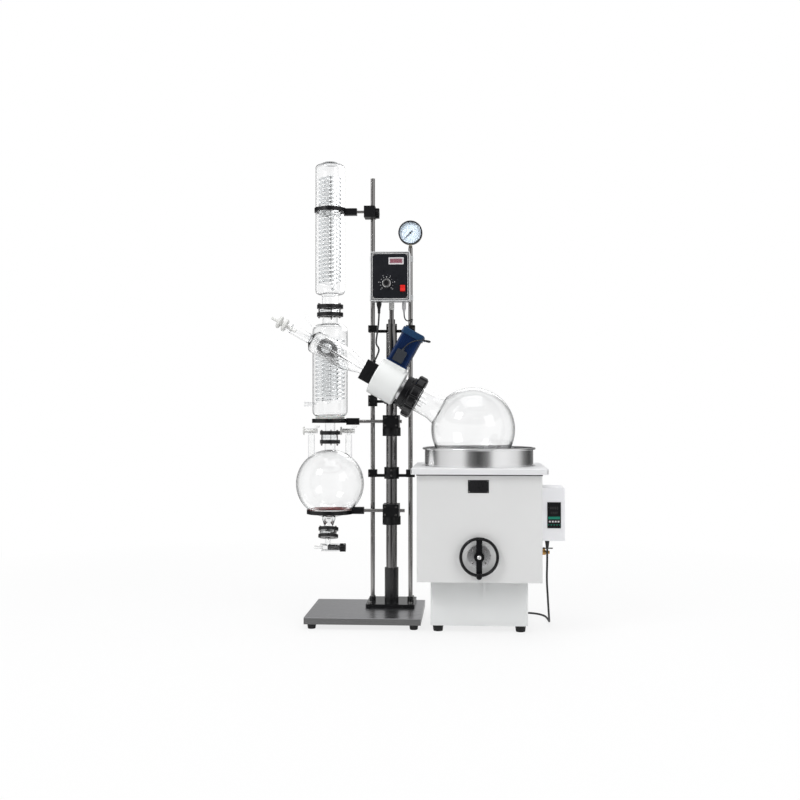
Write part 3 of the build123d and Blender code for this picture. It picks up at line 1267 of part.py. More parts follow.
# Drain cock on the right side of the shell
with BuildPart() as drain_cock:
    bar_along_x(shell_right, shell_right + 10, cock_y, cock_z, 10)
    bar_along_x(shell_right, shell_right + 39, cock_y, cock_z, 6.5)
    with BuildSketch(Plane.YZ.offset(shell_right + 10)) as hexagon:
        with Locations((cock_y, cock_z)):
            RegularPolygon(11, 6)
    extrude(hexagon.sketch, amount=14)
    post(shell_right + 17, cock_y, cock_z, cock_z + 14, 5)
    bar_along_x(shell_right, shell_right + 39, cock_y, cock_z, 4, Mode.SUBTRACT)
    post(shell_right + 17, cock_y, cock_z + 9, cock_z + 14, 2.6, Mode.SUBTRACT)
finish(drain_cock.part, "drain_cock")
with BuildPart() as cock_lever:
    post(shell_right + 17, cock_y, cock_z + 10, cock_z + 20, 2.4)
    block(shell_right + 11, shell_right + 52, cock_y - 5, cock_y + 5, cock_z + 14.3, cock_z + 18)
    fillet(cock_lever.edges().filter_by(Axis.Z).group_by(Axis.X)[-1], 4.5)
finish(cock_lever.part, "cock_lever")

# Power cord of the bath: its free stretch, the coil that is put away behind the bath, and the plug
cord_floor = cord_radius + 0.3
coil_x = 425
coil_y = 118
coil_turn = 50
stub_end = coil_x + 34
cable([(cord_x, cord_front, cord_start), (cord_x, cord_front, 262), (624, -281, 196), (629, -272, 124),
       (634, -246, 62), (640, -196, 18), (644, -132, cord_floor), (642, -62, cord_floor), (634, -2, cord_floor),
       (604, 44, cord_floor), (552, 62, cord_floor), (502, coil_y - coil_turn + 1, cord_floor),
       (stub_end, coil_y - coil_turn, cord_floor)], cord_radius, "bath_cord")
coil_top = 4 * cord_radius + 0.7
coil_outer = coil_turn + cord_radius + 0.4
with BuildPart() as bath_cord_coil:
    turned((coil_x, coil_y),
           [(coil_turn - 12, 0.05), (coil_outer, 0.05), (coil_outer, coil_top), (coil_turn - 12, coil_top)], [3, 3])
    bar_along_x(coil_x, stub_end, coil_y - coil_turn, cord_floor, cord_radius)
    bar_along_x(coil_x, stub_end, coil_y + coil_turn, cord_floor + 2 * cord_radius, cord_radius)
finish(bath_cord_coil.part, "bath_cord_coil")
plug_y = coil_y + coil_turn
plug_z = cord_floor + 2 * cord_radius
with BuildPart() as bath_plug:
    with BuildSketch(Plane.YZ.offset(stub_end)) as relief:
        with Locations((plug_y, plug_z)):
            Circle(cord_radius + 1.2)
    extrude(relief.sketch, amount=30, taper=-5)
    block(stub_end + 28, stub_end + 62, plug_y - 14, plug_y + 14, plug_z - 11.5, plug_z + 11.5)
    fillet(bath_plug.edges().filter_by(Axis.Z), 5)
    for offset in (-9.5, 9.5):
        bar_along_x(stub_end + 62, stub_end + 81, plug_y + offset, plug_z, 2.4)
finish(bath_plug.part, "bath_plug")
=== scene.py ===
import math
import bpy
from mathutils import Matrix, Vector


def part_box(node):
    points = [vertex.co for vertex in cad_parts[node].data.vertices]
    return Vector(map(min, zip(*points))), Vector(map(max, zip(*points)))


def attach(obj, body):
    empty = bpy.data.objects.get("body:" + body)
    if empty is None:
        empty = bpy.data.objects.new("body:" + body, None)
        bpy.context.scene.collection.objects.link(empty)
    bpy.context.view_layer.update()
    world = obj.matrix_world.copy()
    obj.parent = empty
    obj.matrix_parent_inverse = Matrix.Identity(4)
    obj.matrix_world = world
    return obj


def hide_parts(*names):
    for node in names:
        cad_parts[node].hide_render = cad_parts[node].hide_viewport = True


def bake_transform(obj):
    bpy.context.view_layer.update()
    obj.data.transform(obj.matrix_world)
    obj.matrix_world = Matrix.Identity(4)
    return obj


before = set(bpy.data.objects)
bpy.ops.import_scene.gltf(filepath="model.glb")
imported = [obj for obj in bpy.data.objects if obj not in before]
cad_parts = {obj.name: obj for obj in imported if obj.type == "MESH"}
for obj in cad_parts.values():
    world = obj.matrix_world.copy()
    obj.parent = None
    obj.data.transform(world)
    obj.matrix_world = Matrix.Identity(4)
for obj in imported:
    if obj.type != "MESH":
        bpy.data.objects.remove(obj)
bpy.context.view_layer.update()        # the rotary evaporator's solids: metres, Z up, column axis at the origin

# Sizes that many pieces share
glass = {"x": -0.254, "y": -0.039}
panel = {"front": -0.094, "left": -0.0774, "right": 0.0774, "bottom": 1.3066, "top": 1.5004}
bath = {"front": -0.435, "wheelX": 0.361, "wheelZ": 0.302}
head = {"centre": Vector((0.339, -0.198, 0.777)), "tilt": math.radians(29)}
axisUp = Vector((-math.cos(head["tilt"]), 0, math.sin(head["tilt"])))
squareUp = Vector((math.sin(head["tilt"]), 0, math.cos(head["tilt"])))
toFront = Vector((0, -1, 0))

# Where a solid's colour changes: heights, and for the hub's collar a distance along the head's axis
borders = {"traySkirt": 0.0445, "controlBoxFloor": 1.3020, "sideBoxFloor": 0.3495, "hubCollar": 0.3222,
           "gaugeStem": 1.5445, "heatingRing": 0.4625, "underThePad": 0.6}
borderSharpness = 4000


def headPoint(along, up=0.0, front=0.0):
    return head["centre"] + axisUp * along + squareUp * up + toFront * front


class Sock:      # a value in a finish: sums and products on it become Math nodes
    def __init__(self, nodes, socket):
        self.nodes = nodes
        self.socket = socket

    def math(self, operation, first, second=0.0, clamp=False):
        settings = {"operation": operation, "use_clamp": clamp}
        return self.nodes.node("ShaderNodeMath", settings, {0: first, 1: second})

    def __add__(self, other):
        return self.math("ADD", self, other)

    def __radd__(self, other):
        return self.math("ADD", other, self)

    def __sub__(self, other):
        return self.math("SUBTRACT", self, other)

    def __rsub__(self, other):
        return self.math("SUBTRACT", other, self)

    def __mul__(self, other):
        return self.math("MULTIPLY", self, other)

    def __rmul__(self, other):
        return self.math("MULTIPLY", other, self)

    def clamped(self):
        return self.math("ADD", self, 0.0, clamp=True)

    def rising(self, start, gain):      # 0 up to the start, then up to 1 at that gain
        return ((self - start) * gain).clamped()

    def root(self):
        return self.math("SQRT", self)


class Nodes:     # makes and links the nodes of one tree
    def __init__(self, tree):
        self.tree = tree
        tree.nodes.clear()

    def feed(self, socket, value):
        if isinstance(value, Sock):
            self.tree.links.new(value.socket, socket)
        elif isinstance(value, (tuple, list)) and len(value) == 3 and socket.type == "RGBA":
            socket.default_value = (*value, 1)
        else:
            socket.default_value = value

    def node(self, kind, settings, inputs, output=0):
        made = self.tree.nodes.new(kind)
        for key, value in settings.items():
            if key == "stops":
                ramp = made.color_ramp
                while len(ramp.elements) < len(value):
                    ramp.elements.new(0.5)
                for element, (position, shade) in zip(ramp.elements, value):
                    element.position = position
                    element.color = (*shade, 1)
            else:
                setattr(made, key, value)
        for key, value in inputs.items():
            self.feed(made.inputs[key], value)
        return Sock(self, made.outputs[output])

    def mix(self, amount, first, second):
        settings = {"data_type": "RGBA"}
        return self.node("ShaderNodeMix", settings, {0: amount, 6: first, 7: second}, 2)

    def ray(self, kind):
        return self.node("ShaderNodeLightPath", {}, {}, kind)


class Finish(Nodes):     # one material: a Principled shader and the nodes that feed it
    def __init__(self, name, **constants):
        self.material = bpy.data.materials.new(name)
        self.material.use_nodes = True
        super().__init__(self.material.node_tree)
        self.output = self.tree.nodes.new("ShaderNodeOutputMaterial")
        self.shader = self.tree.nodes.new("ShaderNodeBsdfPrincipled")
        self.tree.links.new(self.shader.outputs[0], self.output.inputs["Surface"])
        self.place = self.node("ShaderNodeTexCoord", {}, {}, "Object")
        for key, value in constants.items():
            self.feed(self.shader.inputs[key.replace("_", " ")], value)

    def axis(self, letter):
        return self.node("ShaderNodeSeparateXYZ", {}, {0: self.place}, letter)

    def below(self, height):      # 1 under that height and 0 above it
        return ((height - self.axis("Z")) * borderSharpness).clamped()

    def stretched(self, stretch):
        return self.node("ShaderNodeMapping", {}, {"Vector": self.place, "Scale": stretch})

    def noise(self, scale, detail=3.0, roughness=0.55, vector=None):
        inputs = {"Vector": vector or self.place, "Scale": scale, "Detail": detail,
                  "Roughness": roughness}
        return self.node("ShaderNodeTexNoise", {}, inputs, "Fac")

    def bump(self, height, strength, distance):
        inputs = {"Height": height, "Strength": strength, "Distance": distance}
        self.feed(self.shader.inputs["Normal"], self.node("ShaderNodeBump", {}, inputs))

    def set(self, name, value):
        self.feed(self.shader.inputs[name], value)


def scaled(colour, amount):
    return tuple(channel * amount for channel in colour)


# Finishes
def groundSteel(name, colour, roughness, stretch, spread=0.10):
    # Fine grinding lines: noise drawn out along the direction of the wheel or the lathe
    finish = Finish(name, Metallic=1.0)
    lines = finish.noise(1.0, 4.0, 0.6, finish.stretched(stretch))
    cloud = finish.noise(9.0, 2.0)
    shades = finish.mix(lines * 0.7 + cloud * 0.3, scaled(colour, 0.86), scaled(colour, 1.08))
    finish.set("Base Color", shades)
    finish.set("Roughness", lines * spread + cloud * 0.04 + (roughness - 0.5 * spread - 0.02))
    finish.bump(lines, 0.10, 0.0004)
    return finish.material


def trayFinish(name, colour, skirt):
    # Sheet ground along its length; below the fold the skirt's base colour is darker than the top: a painted
    # reflection of the dim floor
    finish = Finish(name, Metallic=1.0)
    lines = finish.noise(1.0, 4.0, 0.6, finish.stretched((3, 900, 900)))
    # painted reflection: 1 on the skirt below the fold, which takes the darker colour
    side = finish.below(borders["traySkirt"])
    base = finish.mix(side, colour, skirt)
    finish.set("Base Color", finish.mix(lines * 0.35, base, scaled(skirt, 0.7)))
    finish.set("Roughness", lines * 0.14 + 0.20)
    finish.bump(lines, 0.10, 0.0004)
    return finish.material


def coatedMetal(name, colour, roughness, peel=420.0, strength=0.10, gloss=0.5):
    # Powder coat: a slight orange peel and a very faint cloud in the colour
    finish = Finish(name, Specular_IOR_Level=gloss)
    grain = finish.noise(peel, 2.0)
    cloud = finish.noise(6.0, 3.0)
    finish.set("Base Color", finish.mix(cloud, scaled(colour, 0.965), scaled(colour, 1.02)))
    finish.set("Roughness", grain * 0.10 + cloud * 0.06 + (roughness - 0.08))
    finish.bump(grain, strength, 0.0004)
    return finish.material


def mouldedPlastic(name, colour, roughness, grainScale=900.0, strength=0.22, gloss=0.3):
    finish = Finish(name, Specular_IOR_Level=gloss)
    grain = finish.noise(grainScale, 2.0, 0.6)
    rub = finish.noise(28.0, 4.0, 0.65)
    finish.set("Base Color", finish.mix(rub, scaled(colour, 0.85), scaled(colour, 1.25)))
    finish.set("Roughness", grain * 0.12 + rub * 0.16 + (roughness - 0.14))
    finish.bump(grain, strength, 0.0003)
    return finish.material


# where the painted grey rim of the glass starts by viewing angle, how fast it darkens, and the tint that the
# glass absorbs
glassLook = {"edgeStart": 0.60, "edgeGain": 3.0, "tint": (0.42, 0.46, 0.48)}


def clearGlass(name, density, ior=1.47, rim=0.10, wave=0.015):
    # Borosilicate: clear and hardly wavy from the blowing; painted shade: the base colour turns grey by viewing
    # angle where one looks along the wall, a painted dark rim
    finish = Finish(name, Transmission_Weight=1.0, IOR=ior, Roughness=0.0, Specular_IOR_Level=0.25)
    facing = finish.node("ShaderNodeLayerWeight", {}, {"Blend": 0.5}, "Facing")
    # painted shade: the rim grey darkens the base colour towards grazing views
    paintedRimMask = facing.rising(glassLook["edgeStart"], glassLook["edgeGain"])
    finish.set("Base Color", finish.mix(paintedRimMask, (1.0, 1.0, 1.0), (rim, rim * 1.03, rim * 1.04)))
    inputs = {"Color": glassLook["tint"], "Density": density}
    absorb = finish.node("ShaderNodeVolumeAbsorption", {}, inputs)
    finish.feed(finish.output.inputs["Volume"], absorb)
    finish.bump(finish.noise(14.0, 1.0, 0.4), wave, 0.001)
    return finish.material


def fluoroPlastic(name):
    # White PTFE: waxy, with faint turning lines
    finish = Finish(name)
    lines = finish.noise(90.0, 2.0, 0.5)
    finish.set("Base Color", finish.mix(lines, (0.66, 0.66, 0.64), (0.76, 0.76, 0.74)))
    finish.set("Roughness", lines * 0.10 + 0.32)
    finish.bump(lines, 0.05, 0.0003)
    return finish.material


def lampPlastic(name, colour, glow):
    finish = Finish(name, Coat_Weight=0.4, Coat_Roughness=0.08)
    grain = finish.noise(500.0, 2.0)
    finish.set("Base Color", finish.mix(grain, scaled(colour, 0.9), colour))
    finish.set("Roughness", grain * 0.08 + 0.22)
    finish.set("Emission Color", colour)
    finish.set("Emission Strength", glow)
    return finish.material


def boxShellFinish(paint, black):
    # The control box with the gland, which is black, and the bright cable plug under it
    finish = Finish("controlBoxPaint")
    under = finish.below(borders["controlBoxFloor"])
    atRight = finish.axis("X").rising(0.0, borderSharpness)
    plug = under * atRight
    grain = finish.noise(420.0, 2.0)
    body = finish.mix(grain, scaled(paint, 0.97), paint)
    below = finish.mix(atRight, black, (0.62, 0.62, 0.63))
    finish.set("Base Color", finish.mix(under, body, below))
    finish.set("Metallic", plug)
    finish.set("Roughness", grain * 0.08 + 0.30 + under * 0.05)
    finish.bump(grain, 0.08, 0.0004)
    return finish.material


def sideBoxFinish(paint, black):
    # Painted box over its black rubber strain relief
    finish = Finish("sideBoxPaint")
    rubber = finish.below(borders["sideBoxFloor"])
    grain = finish.noise(420.0, 2.0)
    finish.set("Base Color", finish.mix(rubber, finish.mix(grain, scaled(paint, 0.97), paint), black))
    finish.set("Roughness", grain * 0.10 + 0.32)
    finish.bump(grain, 0.10, 0.0004)
    return finish.material


def hubFinish(black):
    # The black hub and, past it along the head's axis, its ground steel collar
    finish = Finish("flaskHubFinish", Specular_IOR_Level=0.3)
    origin = head["centre"]
    along = ((finish.axis("X") - origin.x) * axisUp.x) + ((finish.axis("Z") - origin.z) * axisUp.z)
    collar = along.rising(borders["hubCollar"], borderSharpness)
    rub = finish.noise(60.0, 4.0, 0.65)
    dark = finish.mix(rub, scaled(black, 0.85), scaled(black, 1.3))
    finish.set("Base Color", finish.mix(collar, dark, (0.60, 0.60, 0.61)))
    finish.set("Metallic", collar)
    finish.set("Roughness", rub * 0.12 + 0.18 - collar * 0.04)
    finish.bump(rub, 0.05, 0.0004)
    return finish.material


def cushionFinish(red, pale):
    # The red silicone ring under the receiver and the white pad under the lower condenser
    finish = Finish("siliconeFinish", Subsurface_Weight=0.1, Subsurface_Scale=0.003)
    lower = finish.below(borders["underThePad"])
    grain = finish.noise(350.0, 3.0)
    base = finish.mix(lower, pale, red)
    finish.set("Base Color", finish.mix(grain * 0.3, base, (0.02, 0.01, 0.01)))
    finish.set("Roughness", grain * 0.15 + 0.42)
    finish.bump(grain, 0.2, 0.0003)
    return finish.material


def gaugeFinish(black, steel):
    # Black case over a bright stem
    finish = Finish("gaugeCaseFinish")
    stem = finish.below(borders["gaugeStem"])
    grain = finish.noise(500.0, 3.0)
    finish.set("Base Color", finish.mix(stem, black, steel))
    finish.set("Metallic", stem)
    finish.set("Roughness", grain * 0.1 + 0.22)
    finish.bump(grain, 0.08, 0.0003)
    return finish.material


def potFinish():
    # Spun stainless steel: lines round the pot, and a dark heating ring under it
    finish = Finish("potSteel")
    lines = finish.noise(1.0, 4.0, 0.6, finish.stretched((3, 3, 1500)))
    cloud = finish.noise(5.0, 2.0)
    ring = finish.below(borders["heatingRing"])
    steel = finish.mix(lines, (0.74, 0.74, 0.75), (0.90, 0.90, 0.90))
    finish.set("Base Color", finish.mix(ring, steel, (0.05, 0.05, 0.05)))
    finish.set("Metallic", 1.0 - ring)
    finish.set("Roughness", lines * 0.08 + cloud * 0.04 + 0.12)
    finish.bump(lines, 0.08, 0.0003)
    return finish.material


def cordJacket(name, colour):
    finish = Finish(name)
    grain = finish.noise(700.0, 3.0)
    dust = finish.noise(40.0, 3.0)
    finish.set("Base Color", finish.mix(dust, colour, scaled(colour, 1.9)))
    finish.set("Roughness", grain * 0.15 + 0.42)
    finish.bump(grain, 0.25, 0.0002)
    return finish.material


shade = {
    "steel": (0.34, 0.33, 0.325), "darkSteel": (0.21, 0.205, 0.205), "tray": (0.50, 0.50, 0.52),
    "black": (0.005, 0.005, 0.006), "paint": (0.72, 0.72, 0.715),
    # the pedestal's paint is set lighter than the shell's: painted light that offsets the shade under the shell
    "lidPaint": (0.76, 0.76, 0.77), "pedestal": (0.83, 0.84, 0.835), "housing": (0.80, 0.81, 0.80),
    "blue": (0.002, 0.016, 0.070), "capBlue": (0.010, 0.040, 0.100), "boxGrey": (0.030, 0.034, 0.042),
    "red": (0.70, 0.015, 0.010), "brass": (0.62, 0.36, 0.12), "silicone": (0.16, 0.016, 0.014),
}
finishes = {
    "column": groundSteel("columnSteel", shade["darkSteel"], 0.13, (30, 30, 1400), spread=0.06),
    "rods": groundSteel("rodSteel", shade["steel"], 0.12, (30, 30, 1400), spread=0.06),
    # the darker grey is the skirt's painted reflection of the dim floor
    "tray": trayFinish("traySteel", shade["tray"], (0.17, 0.17, 0.17)),
    "fasteners": groundSteel("boltSteel", shade["steel"], 0.22, (300, 300, 300)),
    "pot": potFinish(),
    "clamps": coatedMetal("clampCoat", shade["black"], 0.36, 600.0, 0.16, 0.3),
    "rings": coatedMetal("ringCoat", shade["black"], 0.30, 500.0, 0.12, 0.35),
    "footPlate": coatedMetal("footPlateCoat", (0.012, 0.012, 0.013), 0.20, 380.0, 0.10),
    "jointClamps": mouldedPlastic("jointClampPlastic", (0.014, 0.014, 0.015), 0.30, 700.0, 0.16),
    "ringNut": mouldedPlastic("ringNutPlastic", shade["black"], 0.20, 500.0, 0.06, 0.6),
    "seal": mouldedPlastic("sealPlastic", (0.006, 0.006, 0.007), 0.34, 800.0, 0.20),
    "knob": mouldedPlastic("knobPlastic", shade["black"], 0.38, 900.0, 0.25),
    "grip": mouldedPlastic("gripPlastic", shade["black"], 0.22, 600.0, 0.08),
    "rubber": mouldedPlastic("footRubber", (0.016, 0.016, 0.016), 0.62, 700.0, 0.35),
    "bathPaint": coatedMetal("bathPaint", shade["paint"], 0.42),
    "lidPaint": coatedMetal("lidPaint", shade["lidPaint"], 0.36),
    # lighter than the bath's paint: painted light against the shade under the shell
    "pedestalPaint": coatedMetal("pedestalPaint", shade["pedestal"], 0.42),
    "sidePaint": sideBoxFinish((0.92, 0.92, 0.94), shade["black"]),
    "housing": coatedMetal("housingPaint", shade["housing"], 0.24, 260.0, 0.06),
    "motor": coatedMetal("motorPaint", shade["blue"], 0.30, 380.0, 0.14, 0.3),
    "motorCap": coatedMetal("motorCapPaint", shade["capBlue"], 0.32, 380.0, 0.14, 0.3),
    "terminal": mouldedPlastic("terminalPlastic", shade["boxGrey"], 0.45, 700.0, 0.25),
    "panel": mouldedPlastic("panelPlastic", (0.011, 0.012, 0.015), 0.30, 1200.0, 0.10),
    "ptfe": fluoroPlastic("ptfe"),
    "flask": clearGlass("flaskGlass", 9.0),
    "condenser": clearGlass("condenserGlass", 12.0),
    "duct": clearGlass("ductGlass", 10.0),
    "receiver": clearGlass("receiverGlass", 9.0),
    "coil": clearGlass("coilGlass", 16.0, 1.20, 0.45),
    "gaugeGlass": clearGlass("gaugeLens", 2.0, 1.30, 0.80, 0.0),
    "boxShell": boxShellFinish((0.60, 0.605, 0.61), shade["black"]),
    "hub": hubFinish(shade["black"]),
    "cushions": cushionFinish(shade["silicone"], (0.80, 0.80, 0.78)),
    "gauge": gaugeFinish(shade["black"], (0.62, 0.58, 0.50)),
    "rocker": lampPlastic("rockerRed", shade["red"], 0.15),
    "displayWindow": lampPlastic("displayWindow", (0.30, 0.16, 0.19), 0.05),
    "lever": coatedMetal("leverPaint", (0.020, 0.020, 0.022), 0.3),
    "brass": groundSteel("valveBrass", shade["brass"], 0.26, (300, 300, 300)),
    "controller": mouldedPlastic("controllerPlastic", (0.010, 0.010, 0.011), 0.24, 900.0, 0.06),
    "cord": cordJacket("cordJacket", (0.009, 0.009, 0.010)),
    "knobFace": groundSteel("knobSteel", (0.80, 0.80, 0.80), 0.24, (300, 300, 300)),
    "aluminium": groundSteel("flangeSteel", (0.66, 0.66, 0.67), 0.28, (200, 200, 200)),
    "print": mouldedPlastic("whitePrint", (0.72, 0.72, 0.72), 0.5),
    "darkPrint": mouldedPlastic("darkPrint", (0.02, 0.02, 0.025), 0.5),
    "dial": mouldedPlastic("dialFace", (0.62, 0.72, 0.82), 0.45, 600.0, 0.03),
    "green": lampPlastic("greenStripe", (0.008, 0.20, 0.13), 0.10),
    "keys": mouldedPlastic("keyGrey", (0.62, 0.60, 0.61), 0.5),
    "digits": lampPlastic("litDigits", (0.20, 0.012, 0.030), 0.25),
    "dimDigits": lampPlastic("dimDigits", (0.05, 0.05, 0.05), 0.0),
    "plate": coatedMetal("plateBlack", (0.011, 0.011, 0.012), 0.28, 600.0, 0.06),
}
print("finishes", len(finishes))

nodeFinish = {
    "base_tray": "tray", "rubber_feet": "rubber", "foot_plate": "footPlate", "main_column": "column",
    "steel_rods": "rods", "rod_braces": "clamps", "stand_clamps": "clamps", "bosshead_knob": "knob",
    "ring_clamps": "rings", "ring_cushions": "cushions", "steel_fasteners": "fasteners",
    "control_box_shell": "boxShell", "spindle_sleeve": "ptfe", "control_panel": "panel",
    "speed_display": "displayWindow", "speed_knob": "knobFace", "power_rocker": "rocker",
    "gauge_case": "gauge", "gauge_glass": "gaugeGlass", "gauge_needle": "knob",
    "head_bracket": "clamps", "gear_housing": "housing",
    "spindle_bearings": "fasteners", "hollow_spindle": "fasteners", "drive_pinion": "fasteners",
    "motor_flange": "motor", "drive_motor": "motor", "motor_cap": "motorCap", "terminal_box": "terminal",
    "seal_housing": "seal", "flask_hub": "hub", "ring_nut": "ringNut", "evaporating_flask": "flask",
    "vapour_duct": "duct", "feed_valve_knob": "ptfe", "joint_clamps": "jointClamps",
    "upper_condenser": "condenser", "lower_condenser": "condenser", "receiver_flask": "receiver",
    "left_vent_key": "ptfe", "right_vent_key": "ptfe", "drain_valve": "receiver", "drain_knob": "knob",
    "bath_pedestal": "pedestalPaint", "bath_shell": "bathPaint", "bath_lid": "lidPaint", "bath_pot": "pot",
    "lift_wheel": "grip", "wheel_grip": "grip", "bath_side_box": "sidePaint",
    "temperature_controller": "controller", "drain_cock": "brass", "cock_lever": "lever", "bath_plug": "cord",
}
glassNodes = ["evaporating_flask", "vapour_duct", "upper_condenser", "lower_condenser", "receiver_flask",
              "drain_valve", "gauge_glass"]
for node, finishName in nodeFinish.items():
    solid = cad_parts[node]
    for slot in solid.material_slots:
        slot.material = finishes[finishName]
for node in glassNodes:
    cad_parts[node].visible_shadow = False      # clear glass throws next to no shadow
print("dressed nodes", len(nodeFinish))


# Helpers for modelled pieces
def clearSelection():
    if bpy.context.object and bpy.context.object.mode != "OBJECT":
        bpy.ops.object.mode_set(mode="OBJECT")
    bpy.ops.object.select_all(action="DESELECT")


def selectOnly(piece):
    clearSelection()
    piece.select_set(True)
    bpy.context.view_layer.objects.active = piece


def named(name):
    piece = bpy.context.object
    piece.name = name
    piece.data.name = name
    return piece


def applyPlace(piece):
    selectOnly(piece)
    bpy.ops.object.transform_apply(location=True, rotation=True, scale=True)


def useModifier(piece, name, kind, **settings):
    selectOnly(piece)
    modifier = piece.modifiers.new(name, kind)
    for key, value in settings.items():
        setattr(modifier, key, value)
    bpy.ops.object.modifier_apply(modifier=modifier.name)


def roundEdges(piece, width, angle=30):
    useModifier(piece, "edgeRound", "BEVEL", width=width, segments=2, limit_method="ANGLE",
                angle_limit=math.radians(angle))


def joined(name, parts):
    clearSelection()
    for part in parts:
        part.select_set(True)
    bpy.context.view_layer.objects.active = parts[0]
    bpy.ops.object.join()
    return named(name)


def settle(piece, finishName, body, angle=35):
    selectOnly(piece)
    bpy.ops.object.shade_smooth_by_angle(angle=math.radians(angle))
    piece.data.materials.clear()
    piece.data.materials.append(finishes[finishName])
    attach(piece, body)


def facesToward(piece, direction, limit=0.9):
    # Selects the faces that look that way, with the mesh in edit mode after
    bpy.ops.object.mode_set(mode="EDIT")
    bpy.ops.mesh.select_mode(type="FACE")
    bpy.ops.mesh.select_all(action="DESELECT")
    bpy.ops.object.mode_set(mode="OBJECT")
    for polygon in piece.data.polygons:
        polygon.select = polygon.normal.dot(Vector(direction)) > limit
    bpy.ops.object.mode_set(mode="EDIT")


facingFront = (math.pi / 2, 0, 0)      # turns a primitive's +Z to the viewer's side, -Y


def sinkFace(piece, rim, dish):
    # The front face moves back by the dish, inside a rim
    facesToward(piece, toFront)
    bpy.ops.mesh.inset(thickness=rim)
    bpy.ops.transform.translate(value=(0, dish, 0))
    bpy.ops.object.mode_set(mode="OBJECT")


def frontDisc(name, x, z, back, depth, radius, sides, rim=0.0, dish=0.0):
    # A turned disc that looks to the front
    clearSelection()
    bpy.ops.mesh.primitive_cylinder_add(vertices=sides, radius=radius, depth=depth,
                                        location=(x, back - depth / 2, z), rotation=facingFront)
    piece = named(name)
    applyPlace(piece)
    if rim:
        sinkFace(piece, rim, dish)
    return piece


def block(name, low, high):
    # A squared start between two corners, for shaping
    clearSelection()
    bpy.ops.mesh.primitive_cube_add(size=1, location=[(start + end) / 2 for start, end in zip(low, high)],
                                    scale=[end - start for start, end in zip(low, high)])
    piece = named(name)
    applyPlace(piece)
    return piece


def frontPlate(name, left, right, bottom, top, back, depth, rim=0.0, dish=0.0):
    piece = block(name, (left, back - depth, bottom), (right, back, top))
    if rim:
        sinkFace(piece, rim, dish)
    return piece


def panHeadScrew(name, x, z, back, radius, height=0.0012):
    # A domed head with a round recess
    piece = frontDisc(name, x, z, back, height, radius, 20)
    facesToward(piece, toFront)
    for inward, backward in ((0.25, -0.35), (0.35, 0.5)):      # shares of the radius and of the height
        bpy.ops.mesh.inset(thickness=radius * inward)
        bpy.ops.transform.translate(value=(0, height * backward, 0))
    bpy.ops.object.mode_set(mode="OBJECT")
    return piece


def frontText(name, words, x, z, back, size, depth=0.0002):
    # Raised numbers that face the front
    clearSelection()
    bpy.ops.object.text_add(location=(x, back, z), rotation=facingFront)
    piece = bpy.context.object
    piece.data.body = words
    piece.data.size = size
    piece.data.align_x = "CENTER"
    piece.data.align_y = "CENTER"
    piece.data.extrude = depth
    piece.data.resolution_u = 2
    bpy.ops.object.convert(target="MESH")
    piece = named(name)
    applyPlace(piece)
    return piece


def textRow(name, sign, x, z, back, step, size, count=4):
    middle = (count - 1) / 2
    return [frontText(name, sign, x + (place - middle) * step, z, back, size) for place in range(count)]


def onRing(x, z, radius, degrees):
    angle = math.radians(degrees)
    return x + radius * math.cos(angle), z + radius * math.sin(angle)


# Cords: one smooth spline each, on the routes of the solids
cordRoutes = {
    "sealCable": {
        "node": "seal_cable", "diameter": 0.007, "length": 0.289,
        "points": [(-0.0485, -0.053, 1.254), (-0.050, -0.056, 1.212), (-0.055, -0.066, 1.170),
                   (-0.058, -0.092, 1.136), (-0.052, -0.128, 1.117), (-0.042, -0.162, 1.108),
                   (-0.036, -0.194, 1.088), tuple(headPoint(0.4775, 0.051))],
    },
    "motorCable": {
        "node": "motor_cable", "diameter": 0.005, "length": 0.190,
        "points": [(0.055, -0.053, 1.260), (0.0555, -0.058, 1.243), (0.061, -0.076, 1.227),
                   (0.071, -0.103, 1.218), (0.083, -0.134, 1.217), (0.094, -0.164, 1.221),
                   (0.098, -0.189, 1.214), tuple(headPoint(0.426, 0.237))],
    },
    "motorLead": {
        "node": "motor_lead", "diameter": 0.005, "length": 0.177,
        "points": [tuple(headPoint(along, up, front)) for along, up, front in (
            (0.394, 0.147, 0.048), (0.392, 0.164, 0.049), (0.376, 0.190, 0.055), (0.352, 0.208, 0.058),
            (0.328, 0.220, 0.044), (0.316, 0.224, 0.018), (0.322, 0.218, -0.006), (0.338, 0.216, -0.014))],
    },
}
bathCord = {
    "diameter": 0.008, "floor": 0.0043, "layer": 0.0082, "coilX": 0.425, "coilY": 0.118,
    "outer": 0.0504, "inner": 0.0422, "turns": 3.5, "pointsPerTurn": 16,
    "inAt": (0.80, 0.97), "upAt": (1.60, 1.83), "outAt": (2.5, 2.72),      # turns where it changes lane
    "stubX": 0.4386, "plugEnd": (0.461, 0.168),
    "route": [(0.626, -0.285, 0.320), (0.626, -0.285, 0.262), (0.624, -0.281, 0.196),
              (0.629, -0.272, 0.124), (0.634, -0.246, 0.062), (0.640, -0.196, 0.018),
              (0.644, -0.132, 0.0043), (0.642, -0.062, 0.0043), (0.634, -0.002, 0.0043),
              (0.604, 0.044, 0.0043), (0.552, 0.062, 0.0043), (0.502, 0.069, 0.0043),
              (0.459, 0.068, 0.0043)],
}


def between(value, start, end):
    share = min(max((value - start) / (end - start), 0), 1)
    return share * share * (3 - 2 * share)


def coilPoints():
    # Two layers of a neat round coil: in at the outer turn, up inside, and out again on top
    points = []
    count = int(bathCord["turns"] * bathCord["pointsPerTurn"])
    for step in range(1, count):
        turn = step / bathCord["pointsPerTurn"]
        inward = between(turn, *bathCord["inAt"]) - between(turn, *bathCord["outAt"])
        radius = bathCord["outer"] + (bathCord["inner"] - bathCord["outer"]) * inward
        height = bathCord["floor"] + bathCord["layer"] * between(turn, *bathCord["upAt"])
        angle = -math.pi / 2 - 2 * math.pi * turn
        points.append((bathCord["coilX"] + radius * math.cos(angle),
                       bathCord["coilY"] + radius * math.sin(angle), height))
    return points


